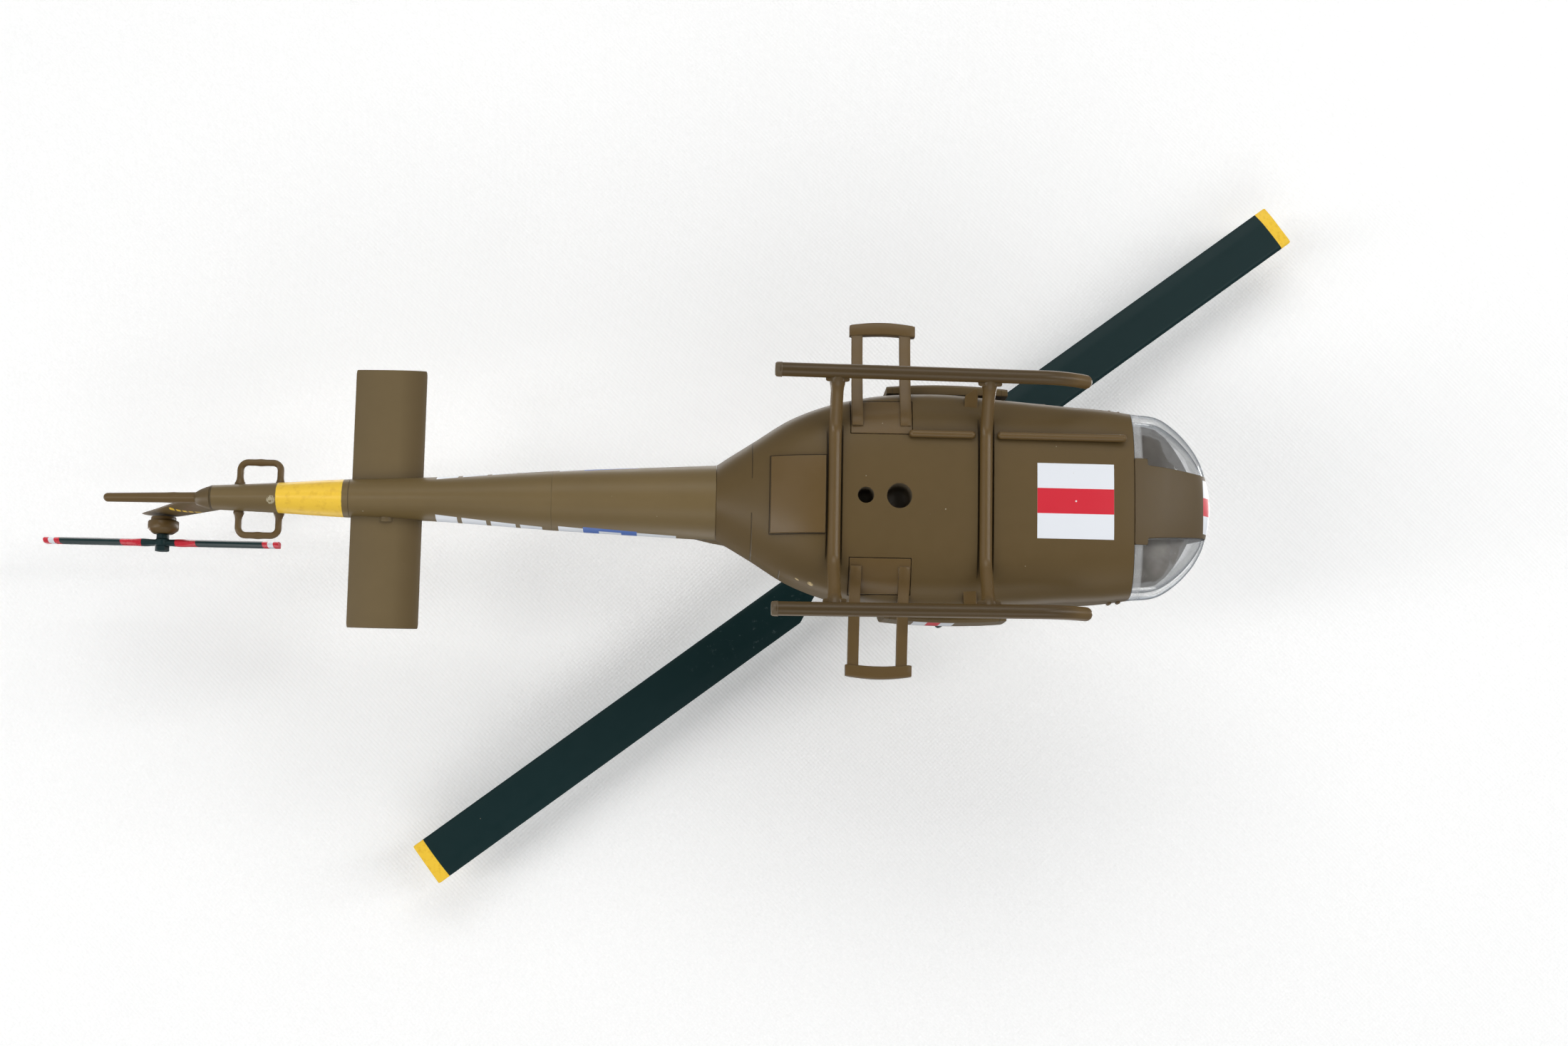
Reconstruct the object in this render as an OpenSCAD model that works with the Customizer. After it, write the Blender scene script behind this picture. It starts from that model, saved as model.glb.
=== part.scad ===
// Toy helicopter, 1:72: a short-cabin utility type with a two-blade main rotor, skids and side carriers.
// Millimetres. The origin is the mouth of the display-stand socket, in the flat belly.
// +X is the nose, +Y the left side, +Z up. The skids stand on z = -5.8.

/* [Main rotor] */
// Radius of the main rotor, mast centre to blade tip
rotor_radius = 90.4; // [70:0.2:91]
// Width of a main blade, leading edge to trailing edge
blade_chord = 7.45; // [6:0.05:8]
// Thickness of a main blade
blade_thickness = 1.0; // [0.8:0.05:1.2]
// Where the forward main blade points at rest, degrees to the right of the nose
blade_rest_angle = 37.0; // [0:0.2:60]
// Height of the middle of the main blades
blade_height = 47.8; // [46:0.1:50]
// Diameter of the rotor mast
mast_diameter = 2.0; // [1.8:0.05:2.2]
// Reach of the stabilizer bar, mast centre to the end of its weight
stabilizer_reach = 20.05; // [16:0.05:22]
// Angle from the forward blade to the stabilizer bar, degrees
stabilizer_angle = 83.0; // [80:0.5:100]

/* [Tail rotor] */
// Radius of the tail rotor
tail_rotor_radius = 18.8; // [12:0.1:19.5]
// Width of a tail rotor blade
tail_blade_chord = 3.1; // [2.4:0.1:3.6]
// Diameter of the tail rotor shaft
tail_shaft_diameter = 1.6; // [1.4:0.05:1.8]

/* [Skids and carriers] */
// Diameter of the skid tubes
skid_diameter = 2.1; // [1.9:0.05:2.2]
// Sideways distance of each skid from the centre line
skid_offset = 17.6; // [17:0.1:18.2]
// Diameter of the two cross tubes
cross_tube_diameter = 1.9; // [1.7:0.05:2]
// Sideways distance of each carrier's end bar from the centre line
carrier_reach = 26.1; // [24:0.1:28]

/* [Stand sockets] */
// Diameter of the large display-stand socket
stand_bore = 3.7; // [3:0.05:4]
// Diameter of the small locating socket behind it
pin_bore = 2.4; // [1.8:0.05:2.6]

/* [Doors] */
// How far the cargo doors slide back from closed
door_travel = 14; // [10:0.5:14]
// Thickness of the cargo door plates
door_thickness = 1.5; // [1.2:0.1:1.7]

/* [Fits] */
// Radial running clearance of both rotor shafts in their bushes
running_clearance = 0.05; // [0.03:0.01:0.1]
// Wall of the hull shell
hull_wall = 1.5; // [1.3:0.05:1.6]

/* [Hidden] */
mast_x = -2.2;
tail_x = -116.3;
tail_z = 35.9;
tail_y = 5.0;
skid_z = -5.8 + skid_diameter / 2;
front_tube_x = 12.9;
rear_tube_x = -9.7;
cross_z = 0.90 - cross_tube_diameter / 2;
e = 0.02;

olive = [0.40, 0.33, 0.21];
teal = [0.09, 0.18, 0.19];
clear = [0.80, 0.86, 0.88, 0.35];
inside = [0.42, 0.41, 0.38];

// ---- stations: [x, half width, underside z, top z, z of the widest point, squareness below, squareness above]
hull_st = [
    [-27.20, 5.70, 5.5, 19.3, 12.0, 2.10, 2.2],
    [-25.30, 6.85, 4.6, 20.5, 11.0, 2.20, 2.3],
    [-21.60, 9.05, 2.9, 22.8, 9.6, 2.40, 2.5],
    [-16.90, 11.95, 1.2, 25.1, 8.4, 2.70, 2.7],
    [-12.60, 13.75, 0.25, 26.5, 7.6, 2.95, 2.9],
    [-8.20, 15.00, 0, 27.3, 7.2, 3.10, 3.0],
    [-2.00, 16.10, 0, 27.8, 7.0, 3.20, 3.1],
    [6.60, 16.45, 0, 28.0, 7.0, 3.30, 3.1],
    [16.30, 15.75, 0, 27.6, 7.0, 3.30, 3.1],
    [25.40, 15.05, 0, 25.4, 7.0, 3.20, 3.0],
    [31.20, 14.70, 0, 22.0, 7.0, 3.00, 2.8],
    [36.00, 14.10, 0.15, 18.4, 6.9, 2.80, 2.6],
    [39.50, 13.70, 0.75, 15.6, 6.8, 2.60, 2.5],
    [42.10, 12.15, 1.9, 13.6, 6.8, 2.50, 2.4],
    [44.60, 9.70, 3.3, 12.0, 6.9, 2.40, 2.3],
    [46.25, 7.20, 4.5, 10.6, 7.0, 2.30, 2.2],
    [47.10, 4.90, 5.4, 9.3, 7.1, 2.20, 2.2],
    [47.60, 2.70, 6.1, 8.3, 7.1, 2.10, 2.1],
    [47.75, 1.20, 6.6, 7.7, 7.1, 2.00, 2.0]];
boom_st = [
    [-105.10, 1.85, 15.4, 20.7, 18.0, 2.0, 2.0],
    [-95.10, 2.30, 13.9, 20.2, 17.1, 2.0, 2.0],
    [-84.70, 2.90, 12.4, 19.6, 16.0, 2.0, 2.0],
    [-70.00, 3.40, 10.3, 19.1, 14.8, 2.0, 2.1],
    [-51.00, 4.60, 8.0, 19.0, 13.5, 2.1, 2.1],
    [-35.00, 5.35, 6.2, 19.2, 12.6, 2.1, 2.2],
    [-27.25, 5.70, 5.5, 19.3, 12.0, 2.1, 2.2]];

// smooth curve through a station table (cubic through neighbouring stations)
function seg(t, x, i = 0) = (i >= len(t) - 2 || x < t[i + 1][0]) ? i : seg(t, x, i + 1);
function slope(t, i) = let (a = max(0, i - 1), b = min(len(t) - 1, i + 1)) (t[b] - t[a]) / (t[b][0] - t[a][0]);
function at(t, x) = let (i = seg(t, x), h = t[i + 1][0] - t[i][0], u = (x - t[i][0]) / h, v = u * u, w = v * u)
    t[i] * (2 * w - 3 * v + 1) + slope(t, i) * h * (w - 2 * v + u)
    + t[i + 1] * (3 * v - 2 * w) + slope(t, i + 1) * h * (w - v);

// one closed cross-section, moved inwards by off
function ring(v, off = 0, n = 36) = [for (k = [0:n - 1])
    let (a = 360 * k / n, c = cos(a), s = sin(a), p = s >= 0 ? v[6] : v[5],
         q = pow(pow(abs(c), p) + pow(abs(s), p), -1 / p),
         h = s >= 0 ? v[3] - off - v[4] : v[4] - v[2] - off)
    [v[0], (v[1] - off) * c * q, v[4] + h * s * q]];
// half width of the hull section v at height z
function half_at(v, z, off = 0) = let (up = z >= v[4], p = up ? v[6] : v[5],
    s = up ? (z - v[4]) / (v[3] - off - v[4]) : (v[4] - z) / (v[4] - v[2] - off))
    (v[1] - off) * pow(max(0, 1 - pow(s, p)), 1 / p);
// where the sections are taken: even along the body, closer together round the nose
hull_x = concat([for (i = [0:19]) -27.2 + 63.2 * i / 20], [for (i = [0:10]) 36 + 11.75 * sin(9 * i)]);
boom_x = [for (i = [0:10]) -105.1 + 77.85 * i / 10];
function between(l, a, b) = concat([a], [for (x = l) if (x > a + 0.3 && x < b - 0.05) x], [b]);

// solid through a list of rings
module loft(rings) {
    n = len(rings[0]);
    m = len(rings);
    polyhedron(points = [for (r = rings) each r], faces = concat(
        [[for (k = [0:n - 1]) k]], [[for (k = [n - 1:-1:0]) (m - 1) * n + k]],
        [for (i = [0:m - 2], k = [0:n - 1]) [i * n + k, (i + 1) * n + k, (i + 1) * n + (k + 1) % n]],
        [for (i = [0:m - 2], k = [0:n - 1]) [i * n + k, (i + 1) * n + (k + 1) % n, i * n + (k + 1) % n]]), convexity = 8);
}
module hull_solid(off = 0, x0 = -27.2, x1 = 47.75)
    loft([for (x = between(hull_x, x0, x1)) ring(at(hull_st, x), off)]);
module boom_solid(off = 0, x0 = -105.1, x1 = -27.25)
    loft([for (x = between(boom_x, x0, x1)) ring(at(boom_st, x), off, 28)]);
// a skin of the hull between two depths
module hull_skin(out, in, x0, x1) difference() {
    hull_solid(out, x0, x1);
    hull_solid(in, x0 - 0.1, x1 + 0.1);
}
module both() {
    children();
    mirror([0, 1, 0]) children();
}
// a drawing in the side view, given as [x, z], pushed through from y0 to y1
module side_block(y0, y1) translate([0, y1, 0]) rotate([90, 0, 0]) linear_extrude(y1 - y0) children();
// a drawing in the front view, given as [y, z], pushed from x0 to x1
module front_block(x0, x1) translate([x0, 0, 0]) rotate([90, 0, 90]) linear_extrude(x1 - x0) children();
module rod_x(x0, x1, r) translate([x0, 0, 0]) rotate([0, 90, 0]) cylinder(r = r, h = x1 - x0, $fn = 48);
module rod_y(y0, y1, r) translate([0, y0, 0]) rotate([-90, 0, 0]) cylinder(r = r, h = y1 - y0, $fn = 48);

// ---- shared outlines
module nose_area(d = 0) side_block(-30, 30)
    polygon([[35.2 + d, -3], [35.2 + d, 10.5], [26.8 + d, 26.6], [26.8 + d, 40], [60, 40], [60, -3]]);
module keel_area(d = 0) difference() {
    translate([0, 0, -2]) linear_extrude(13.4 + d)
        polygon([[35 - d, -6.5 - d], [37.25 + d, -6.5 - d], [37.25 + d, -5.5 - d], [47, -4.7 - d], [52, -4.3 - d],
            [52, 4.3 + d], [47, 4.7 + d], [37.25 + d, 5.5 + d], [37.25 + d, 6.5 + d], [35 - d, 6.5 + d]]);
    translate([30, -20, -5]) cube([5.26 - d, 40, 30]);
}
module cockpit_opening(d = 0) offset(delta = -d)
    polygon([[22.9, 11.3], [34.0, 11.3], [34.0, 12.0], [28.8, 21.3], [22.9, 21.3]]);
module roof_opening(d = 0) translate([0, 0, 15]) linear_extrude(20)
    both() translate([20.4 + d, 2.2 + d]) square([5.8 - 2 * d, 7 - 2 * d]);
module door_light(d = 0) {
    r = 1.2 - d;
    for (x = [3.6, 12.0], z = [14.4, 19.8]) translate([x, 10, z]) rod_y(0, 12, r);
    translate([3.6, 10, 13.2 + d]) cube([8.4, 12, 7.8 - 2 * d]);
    translate([2.4 + d, 10, 14.4]) cube([10.8 - 2 * d, 12, 5.4]);
}
module carrier_area(d = 0) translate([-7.3 - d, 9.35 - d, -1]) cube([9.1 + 2 * d, 5.2 + 2 * d, 7.0 + d]);
module socket_outline(z1, d = 0) {
    translate([0, 0, -d]) cylinder(r = 3.0 + d, h = z1 + d, $fn = 64);
    translate([-5, 0, -d]) cylinder(r = 2.1 + d, h = z1 + d, $fn = 64);
    translate([-5, -2.0 - d, -d]) cube([5, 4 + 2 * d, z1 + d]);
}

// ---- airframe
module hull_shell() color(olive) resize([0, 0, 0]) difference() {
    hull_solid();
    hull_solid(hull_wall, -25, 46.6);
    nose_area();
    both() side_block(8, 20) cockpit_opening();
    both() translate([0.4, 11, 6.9]) cube([14.8, 9, 14.9]);
    roof_opening();
    for (x = [front_tube_x, rear_tube_x]) translate([x - 1.2, -20, -2]) cube([2.4, 40, 2.95]);
    both() intersection() {
        hull_skin(-1, 0.8, -9, 4);
        carrier_area(0.05);
    }
    socket_outline(5, 0.02);
}

module tail_boom() color(olive) resize([0, 0, 0]) difference() {
    boom_solid();
    boom_solid(0.9, -103.6, -28.6);
    translate([-77.7, 0, 15.1]) rod_y(-6, 6, 0.57);
}

// fin: [height, leading edge x, trailing edge x, half thickness]
fin_st = [[20.76, -99.8, -109.6, 1.45], [25, -103.1, -112.2, 1.30], [30, -107.0, -115.3, 1.05],
    [35, -110.9, -118.4, 0.82], [37.6, -113.0, -120.1, 0.68], [38.6, -114.2, -120.5, 0.50], [38.95, -115.6, -120.4, 0.25]];
function fin_ring(v, n = 12) = concat(
    [for (k = [0:n]) let (u = k / n) [v[1] + (v[2] - v[1]) * u, v[3] * pow(sin(180 * u), 0.6), v[0]]],
    [for (k = [n - 1:-1:1]) let (u = k / n) [v[1] + (v[2] - v[1]) * u, -v[3] * pow(sin(180 * u), 0.6), v[0]]]);
module tail_fin() color(olive) resize([0, 0, 0]) difference() {
    union() {
        loft([for (v = fin_st) fin_ring(v)]);
        loft([for (v = [[-108.0, 0.75, 18.1, 20.85, 19.5, 2, 2], [-107.6, 1.0, 17.6, 20.95, 19.3, 2, 2],
            [-106.8, 1.35, 16.8, 21.0, 18.8, 2, 2], [-105.15, 1.85, 15.4, 21.1, 18.2, 2, 2]]) ring(v, 0, 28)]);
    }
    skid_spike(0.03);
}
module skid_spike(d = 0) translate([-107.3, 0, 18.7]) rotate([0, 6.9, 0]) rotate([0, -90, 0]) {
    cylinder(r1 = 0.85 + d, r2 = 0.68 + d, h = 14.4, $fn = 32);
    translate([0, 0, 14.4]) sphere(r = 0.68 + d, $fn = 32);
}
module tail_skid() color(olive) skid_spike();

module elevator() {
    translate([-83.2, 3.5, 14.6]) cube([10.9, 15.7, 1.0]);
    translate([-82.4, 3.5, 14.6]) cube([9.3, 16.5, 1.0]);
    for (x = [-82.4, -73.1]) translate([x, 19.2, 14.6]) cylinder(r = 0.8, h = 1.0, $fn = 40);
    translate([-77.7, 0, 15.1]) rod_y(2.4, 3.6, 0.5);
}
module elevator_left() color(olive) elevator();
module elevator_right() color(olive) mirror([0, 1, 0]) elevator();

module antenna_loop() translate([0, 0, 18.7]) {
    for (x = [-101.0, -94.8]) translate([x, 0, 0]) {
        rod_y(2.35, 4.5, 0.5);
        rod_y(2.30, 2.9, 0.8);
    }
    translate([-99.8, 4.5, 0]) rotate([0, 0, 90]) rotate_extrude(angle = 90, $fn = 48) translate([1.2, 0]) circle(0.5, $fn = 32);
    translate([-96.0, 4.5, 0]) rotate_extrude(angle = 90, $fn = 48) translate([1.2, 0]) circle(0.5, $fn = 32);
    translate([0, 5.7, 0]) rod_x(-99.8, -96.0, 0.5);
}
module antenna_loop_left() color(olive) antenna_loop();
module antenna_loop_right() color(olive) mirror([0, 1, 0]) antenna_loop();

module belly_hatch() color(olive) resize([0, 0, 0]) intersection() {
    hull_skin(-0.35, -e, -20, -9);
    translate([-19.1, -5.8, -3]) cube([8.1, 11.6, 9]);
}
module belly_antenna_tube() color(olive) for (s = [[1.3, 11.3], [14.5, 34.0]]) translate([0, -9.4, -0.2]) {
    rod_x(s[0] + 0.5, s[1] - 0.5, 0.5);
    translate([s[0] + 0.5, 0, 0]) sphere(r = 0.5, $fn = 32);
    translate([s[1] - 0.5, 0, 0]) sphere(r = 0.5, $fn = 32);
}
module stand_socket_block() color(olive) difference() {
    socket_outline(5.8);
    translate([0, 0, -1]) cylinder(d = stand_bore, h = 6.2, $fn = 64);
    translate([-5, 0, -1]) cylinder(d = pin_bore, h = 5.5, $fn = 64);
}

// ---- skids: straight tube with an upturned toe, toed in very slightly
module skid_path(side) translate([0, side * skid_offset, skid_z]) rotate([0, 0, -side * 0.45]) children();
module skid(side) skid_path(side) {
    rod_x(-18, 20.6, skid_diameter / 2);
    translate([20.6, 0, 11]) rotate([90, 0, 0]) rotate([0, 0, -90]) rotate_extrude(angle = 38, $fn = 64)
        translate([11, 0]) circle(d = skid_diameter, $fn = 48);
    translate([20.6 + 11 * sin(38), 0, 11 - 11 * cos(38)]) sphere(d = skid_diameter, $fn = 48);
}
module skid_left() color(olive) skid(1);
module skid_right() color(olive) skid(-1);
module skid_heel_caps() color(olive) for (s = [1, -1]) skid_path(s) {
    rod_x(-19, -18.02, skid_diameter / 2);
    translate([0, 0, 0.25]) rod_x(-18.6, -18.02, skid_diameter / 2);
}

// tube bent down by 32 degrees on each side, mitred at the bend, with a saddle clamped over the skid
bend_y = 10.2;
module cross_leg(x) difference() {
    union() {
        difference() {
            translate([x, bend_y, cross_z]) rotate([-32, 0, 0]) rod_y(-3, 7.8, cross_tube_diameter / 2);
            translate([x - 5, bend_y, cross_z]) rotate([-16, 0, 0]) translate([0, -10, -5]) cube([10, 10, 10]);
        }
        translate([x, skid_offset, skid_z]) rod_x(-1.7, 1.7, skid_diameter / 2 + 0.3);
    }
    skid_path(1) rod_x(-30, 30, skid_diameter / 2 + 0.006);
    translate([x - 5, skid_offset - 5, skid_z - 5.1]) cube([10, 10, 5]);
}
module cross_tube(x) {
    difference() {
        translate([x, 0, cross_z]) rod_y(-12, 12, cross_tube_diameter / 2);
        for (s = [1, -1]) scale([1, s, 1]) translate([x - 5, bend_y, cross_z]) rotate([-16, 0, 0]) translate([0, 0, -5]) cube([10, 10, 10]);
    }
    cross_leg(x);
    mirror([0, 1, 0]) cross_leg(x);
}
module cross_tube_front() color(olive) cross_tube(front_tube_x);
module cross_tube_rear() color(olive) cross_tube(rear_tube_x);

module step_tabs() color(olive) both() resize([0, 0, 0]) difference() {
    translate([0, 0, 1.6]) linear_extrude(1.6) polygon([[9.9, 13.4], [9.9, 15.9], [11.7, 17.1], [11.7, 12.6]]);
    hull_solid(-e, 2, 20);
}

// ---- side carriers: an insert in the hull, two slanted arms and a curved end bar
module carrier() {
    resize([0, 0, 0]) {
        intersection() {
            hull_skin(0, 0.74, -9, 4);
            carrier_area(0);
        }
        for (x = [-7.2, 0.05]) difference() {
            side_block_y(x, 1.65);
            hull_solid(0.3, -12, 8);
            difference() {
                hull_solid(-e, -12, 8);
                carrier_area(0);
            }
        }
        front_bar();
    }
}
module side_block_y(x, w) translate([x, 0, 0]) rotate([90, 0, 90]) linear_extrude(w)
    polygon([[11.8, 1.6], [13.0, 1.5], [carrier_reach - 0.6, 4.1], [carrier_reach - 0.6, 5.3], [13.0, 2.9], [11.8, 2.8]]);
module front_bar() translate([0, 0, 3.7]) linear_extrude(2.0)
    polygon(concat([for (i = [0:8]) let (u = i / 8) [-7.5 + 9.9 * u, carrier_reach + 0.55 + 0.35 * sin(180 * u)]],
        [for (i = [8:-1:0]) let (u = i / 8) [-7.5 + 9.9 * u, carrier_reach - 1.25 + 0.35 * sin(180 * u)]]));
module side_carrier_left() color(olive) carrier();
module side_carrier_right() color(olive) mirror([0, 1, 0]) carrier();

// ---- nose and windows
module nose_shell(out) difference() {
    intersection() {
        hull_solid(out, 25, 47.75);
        nose_area(0.06);
    }
    hull_solid(1.1, 24, 46.55);
}
module nose_glazing() color(clear) resize([0, 0, 0]) difference() {
    nose_shell(0);
    keel_area(0.03);
}
module nose_keel_panel() color(olive) resize([0, 0, 0]) intersection() {
    nose_shell(-0.12);
    keel_area();
}
module cockpit_window() resize([0, 0, 0]) intersection() {
    hull_skin(0.25, 1.05, 20, 37);
    side_block(8, 20) cockpit_opening(0.04);
}
module cockpit_window_left() color(clear) cockpit_window();
module cockpit_window_right() color(clear) mirror([0, 1, 0]) cockpit_window();
module roof_windows() color([0.2, 0.45, 0.3, 0.5]) resize([0, 0, 0]) intersection() {
    hull_skin(0.25, 1.05, 18, 28);
    roof_opening(0.04);
}

// ---- cabin
floor_x = concat([for (i = [0:8]) -3.5 + 39.5 * i / 8], [for (i = [1:8]) 36 + 8.8 * sin(90 * i / 8)]);
function floor_half(x) = at(hull_st, x)[1] - 1.72 - 0.075 * pow(max(0, x - 38), 2);
module cabin_floor() color(inside) translate([0, 0, 5.9]) linear_extrude(1.0) polygon(concat(
    [for (x = floor_x) [x, floor_half(x)]],
    [for (i = [len(floor_x) - 1:-1:0]) [floor_x[i], -floor_half(floor_x[i])]]));
module instrument_panel() color([0.16, 0.16, 0.16]) {
    side_block(-8.2, 8.2) polygon([[38.6, 6.95], [40.2, 6.95], [40.6, 10.2], [39.6, 11.6], [38.0, 11.4]]);
    side_block(-1.6, 1.6) polygon([[31.0, 6.95], [38.62, 6.95], [38.3, 9.6], [31.4, 8.4]]);
}
module pilot_seat() side_block(3.6, 9.4)
    polygon([[26.4, 6.95], [31.4, 6.95], [31.8, 8.8], [32.0, 10.4], [27.6, 9.9], [26.3, 17.8], [24.9, 18.4], [24.6, 17.6], [25.8, 9.4]]);
module pilot_seat_left() color([0.22, 0.22, 0.2]) pilot_seat();
module pilot_seat_right() color([0.22, 0.22, 0.2]) mirror([0, 1, 0]) pilot_seat();
module bench_seat() color([0.45, 0.42, 0.34]) side_block(-10.8, 10.8)
    polygon([[-2.3, 6.95], [3.0, 6.95], [3.3, 9.9], [2.9, 10.6], [-0.8, 10.2], [-1.5, 17.2], [-2.5, 17.2]]);
module rear_bulkhead() color(inside) front_block(-3.6 - 1.0, -3.6)
    polygon([for (p = ring(at(hull_st, -4.6), hull_wall + 0.12)) [p[1], max(p[2], 5.95)]]);

// ---- roof
module mast_fairing() color(olive) resize([0, 0, 0]) difference() {
    hull() {
        translate([12.5, 0, 24]) cylinder(r = 3.0, h = 3.9, $fn = 40);
        translate([4.0, 0, 24]) cylinder(r = 6.2, h = 6.0, $fn = 40);
        translate([-4.0, 0, 24]) cylinder(r = 6.6, h = 8.0, $fn = 40);
        translate([mast_x, 0, 24]) cylinder(r1 = 6.4, r2 = 4.2, h = 10.0, $fn = 40);
    }
    hull_solid(-e, -14, 22);
    translate([-22.9, -10, 20]) cube([14, 20, 20]);
    translate([mast_x, 0, 20]) cylinder(r = 2.26, h = 20, $fn = 48);
}
module engine_cowling() color(olive) resize([0, 0, 0]) difference() {
    loft([for (v = [[-30.4, 4.0, 19.6, 28.6, 24.6, 2.4, 2.2], [-27.5, 4.6, 18.5, 29.3, 24.6, 2.5, 2.4],
        [-22, 5.4, 18, 30.3, 24.6, 2.6, 2.6], [-15, 6.1, 18, 31.2, 24.6, 2.8, 2.8],
        [-8.95, 6.5, 18, 31.7, 24.6, 2.8, 2.8]]) ring(v, 0, 32)]);
    hull_solid(-e, -27.3, 0);
    boom_solid(-e, -40, -27.2);
}
module exhaust_pipe() color([0.38, 0.36, 0.33]) translate([-30.72, 0, 24.9]) rotate([0, 5, 0]) rotate([0, -90, 0]) difference() {
    union() {
        cylinder(r1 = 3.2, r2 = 3.5, h = 5.2, $fn = 48);
        translate([0, 0, 5.2]) cylinder(r = 3.65, h = 0.6, $fn = 48);
    }
    translate([0, 0, 0.8]) cylinder(r1 = 2.6, r2 = 3.05, h = 6, $fn = 48);
}
module mast_bush() color(olive) translate([mast_x, 0, 0]) difference() {
    union() {
        translate([0, 0, 29.6]) cylinder(r = 2.2, h = 5.6, $fn = 64);
        translate([0, 0, 34.1]) cylinder(r = 2.9, h = 1.1, $fn = 64);
    }
    translate([0, 0, 20]) cylinder(d = mast_diameter + 2 * running_clearance, h = 20, $fn = 64);
}
module tail_gearbox() color(olive) translate([tail_x, 0, tail_z]) difference() {
    union() {
        rod_y(0.86, 3.0, 2.45);
        translate([0, 3.0, 0]) rotate([-90, 0, 0]) cylinder(r1 = 2.45, r2 = 1.7, h = 0.6, $fn = 48);
    }
    rod_y(0, 5, tail_shaft_diameter / 2 + running_clearance);
    rod_y(0, 1.75, 1.45);
}
module door_rails() resize([0, 0, 0]) intersection() {
    hull_skin(-0.42, -e, -17, 18);
    translate([-16, 4, 22.95]) cube([32, 14, 0.65]);
}
module door_rails_left() color(olive) door_rails();
module door_rails_right() color(olive) mirror([0, 1, 0]) door_rails();
module cockpit_door_handles() color(olive) both() translate([21.4, half_at(at(hull_st, 21.4), 9.6) + 0.04, 9.6]) {
    rod_y(0, 0.35, 0.55);
    translate([-0.35, 0.35, -0.35]) cube([2.3, 0.35, 0.7]);
}

// ---- cargo doors: curved plates standing off the hull, with a window
door_sec = at(hull_st, 6.6);
module door_skin(a, b, z0, z1, x0, x1) front_block(x0, x1) polygon(concat(
    [for (i = [0:12]) let (z = z0 + (z1 - z0) * i / 12) [half_at(door_sec, z, -a), z]],
    [for (i = [12:-1:0]) let (z = z0 + (z1 - z0) * i / 12) [half_at(door_sec, z, -b), z]]));
module cargo_door() difference() {
    door_skin(0.45, 0.45 + door_thickness, 6.4, 22.6, -1.6, 16.9);
    door_light();
}
module cargo_window() intersection() {
    door_skin(0.75, 1.45, 12.8, 21.4, 1.5, 14);
    door_light(0.03);
}
module cargo_door_left() color(olive) cargo_door();
module cargo_door_window_left() color(clear) cargo_window();
module cargo_door_right() color(olive) mirror([0, 1, 0]) cargo_door();
module cargo_door_window_right() color(clear) mirror([0, 1, 0]) cargo_window();

// ---- main rotor
mast_top = blade_height + 4.6;
module on_mast(a = 0) translate([mast_x, 0, 0]) rotate([0, 0, a - blade_rest_angle]) children();
module rotor_mast() color(teal) translate([mast_x, 0, 0]) {
    translate([0, 0, 28.45]) cylinder(d = mast_diameter, h = mast_top - 28.45, $fn = 64);
    translate([0, 0, 35.3]) cylinder(d = mast_diameter + 1.4, h = 1.0, $fn = 64);
}
module mast_retainer() color(teal) translate([mast_x, 0, 28.3]) difference() {
    cylinder(r = 1.9, h = 1.2, $fn = 64);
    translate([0, 0, 0.14]) cylinder(d = mast_diameter + 0.02, h = 3, $fn = 64);
}
module rotor_yoke() color(teal) on_mast() difference() {
    union() {
        translate([-12.5, -1.8, blade_height - blade_thickness / 2 - 1.12]) cube([25, 3.6, 1.1]);
        translate([0, 0, blade_height - 2.4]) cylinder(r = 2.3, h = 3.6, $fn = 64);
        translate([-2.6, -3.4, blade_height - 1.4]) cube([5.2, 6.8, 1.5]);
    }
    translate([0, 0, blade_height - 4]) cylinder(d = mast_diameter + 0.02, h = 8, $fn = 64);
}
// blade section, [chordwise, up], nose of the section at +y
function blade_pts(n = 10) = concat(
    [for (k = [0:n]) let (u = pow(k / n, 1.6)) [blade_chord * (0.25 - u), blade_thickness * 0.5 * blade_form(u)]],
    [for (k = [n:-1:1]) let (u = pow(k / n, 1.6)) [blade_chord * (0.25 - u), -blade_thickness * 0.5 * blade_form(u)]]);
function blade_form(u) = min(1, 3.2 * sqrt(u) * (1 - u) + 0.22);
module blade() difference() {
    front_block(7.2, rotor_radius) polygon(blade_pts());
    translate([0, 0, -2]) linear_extrude(4)
        polygon([[6, -1.9], [9.5, -1.9], [17, -0.75 * blade_chord - 0.01], [17, -8], [6, -8]]);
}
module main_blade_forward() color(teal) on_mast() translate([0, 0, blade_height]) blade();
module main_blade_aft() color(teal) on_mast(180) translate([0, 0, blade_height]) blade();
module blade_bolts() color(teal) for (a = [0, 180]) on_mast(a) for (x = [8.8, 11.2])
    translate([x, 0, blade_height + blade_thickness / 2 + 0.02]) cylinder(r = 0.75, h = 0.55, $fn = 32);
module stabilizer_bar() color(teal) on_mast(stabilizer_angle) translate([0, 0, blade_height + 2.4]) {
    difference() {
        union() {
            cylinder(r = 2.0, h = 1.3, center = true, $fn = 64);
            for (a = [0, 180]) rotate([0, 0, a]) rod_x(1.6, stabilizer_reach - 2.8, 0.45);
        }
        cylinder(d = mast_diameter + 0.02, h = 4, center = true, $fn = 64);
    }
    for (a = [0, 180]) rotate([0, 0, a]) {
        rod_x(stabilizer_reach - 2.9, stabilizer_reach - 0.6, 1.05);
        translate([stabilizer_reach - 0.6, 0, 0]) rotate([0, 90, 0]) cylinder(r1 = 1.05, r2 = 0.5, h = 0.6, $fn = 48);
    }
}
module mast_nut() color(teal) translate([mast_x, 0, mast_top - 1.2]) difference() {
    cylinder(r = 1.9, h = 1.5, $fn = 6);
    translate([0, 0, -1]) cylinder(d = mast_diameter + 0.02, h = 2.21, $fn = 64);
}

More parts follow.
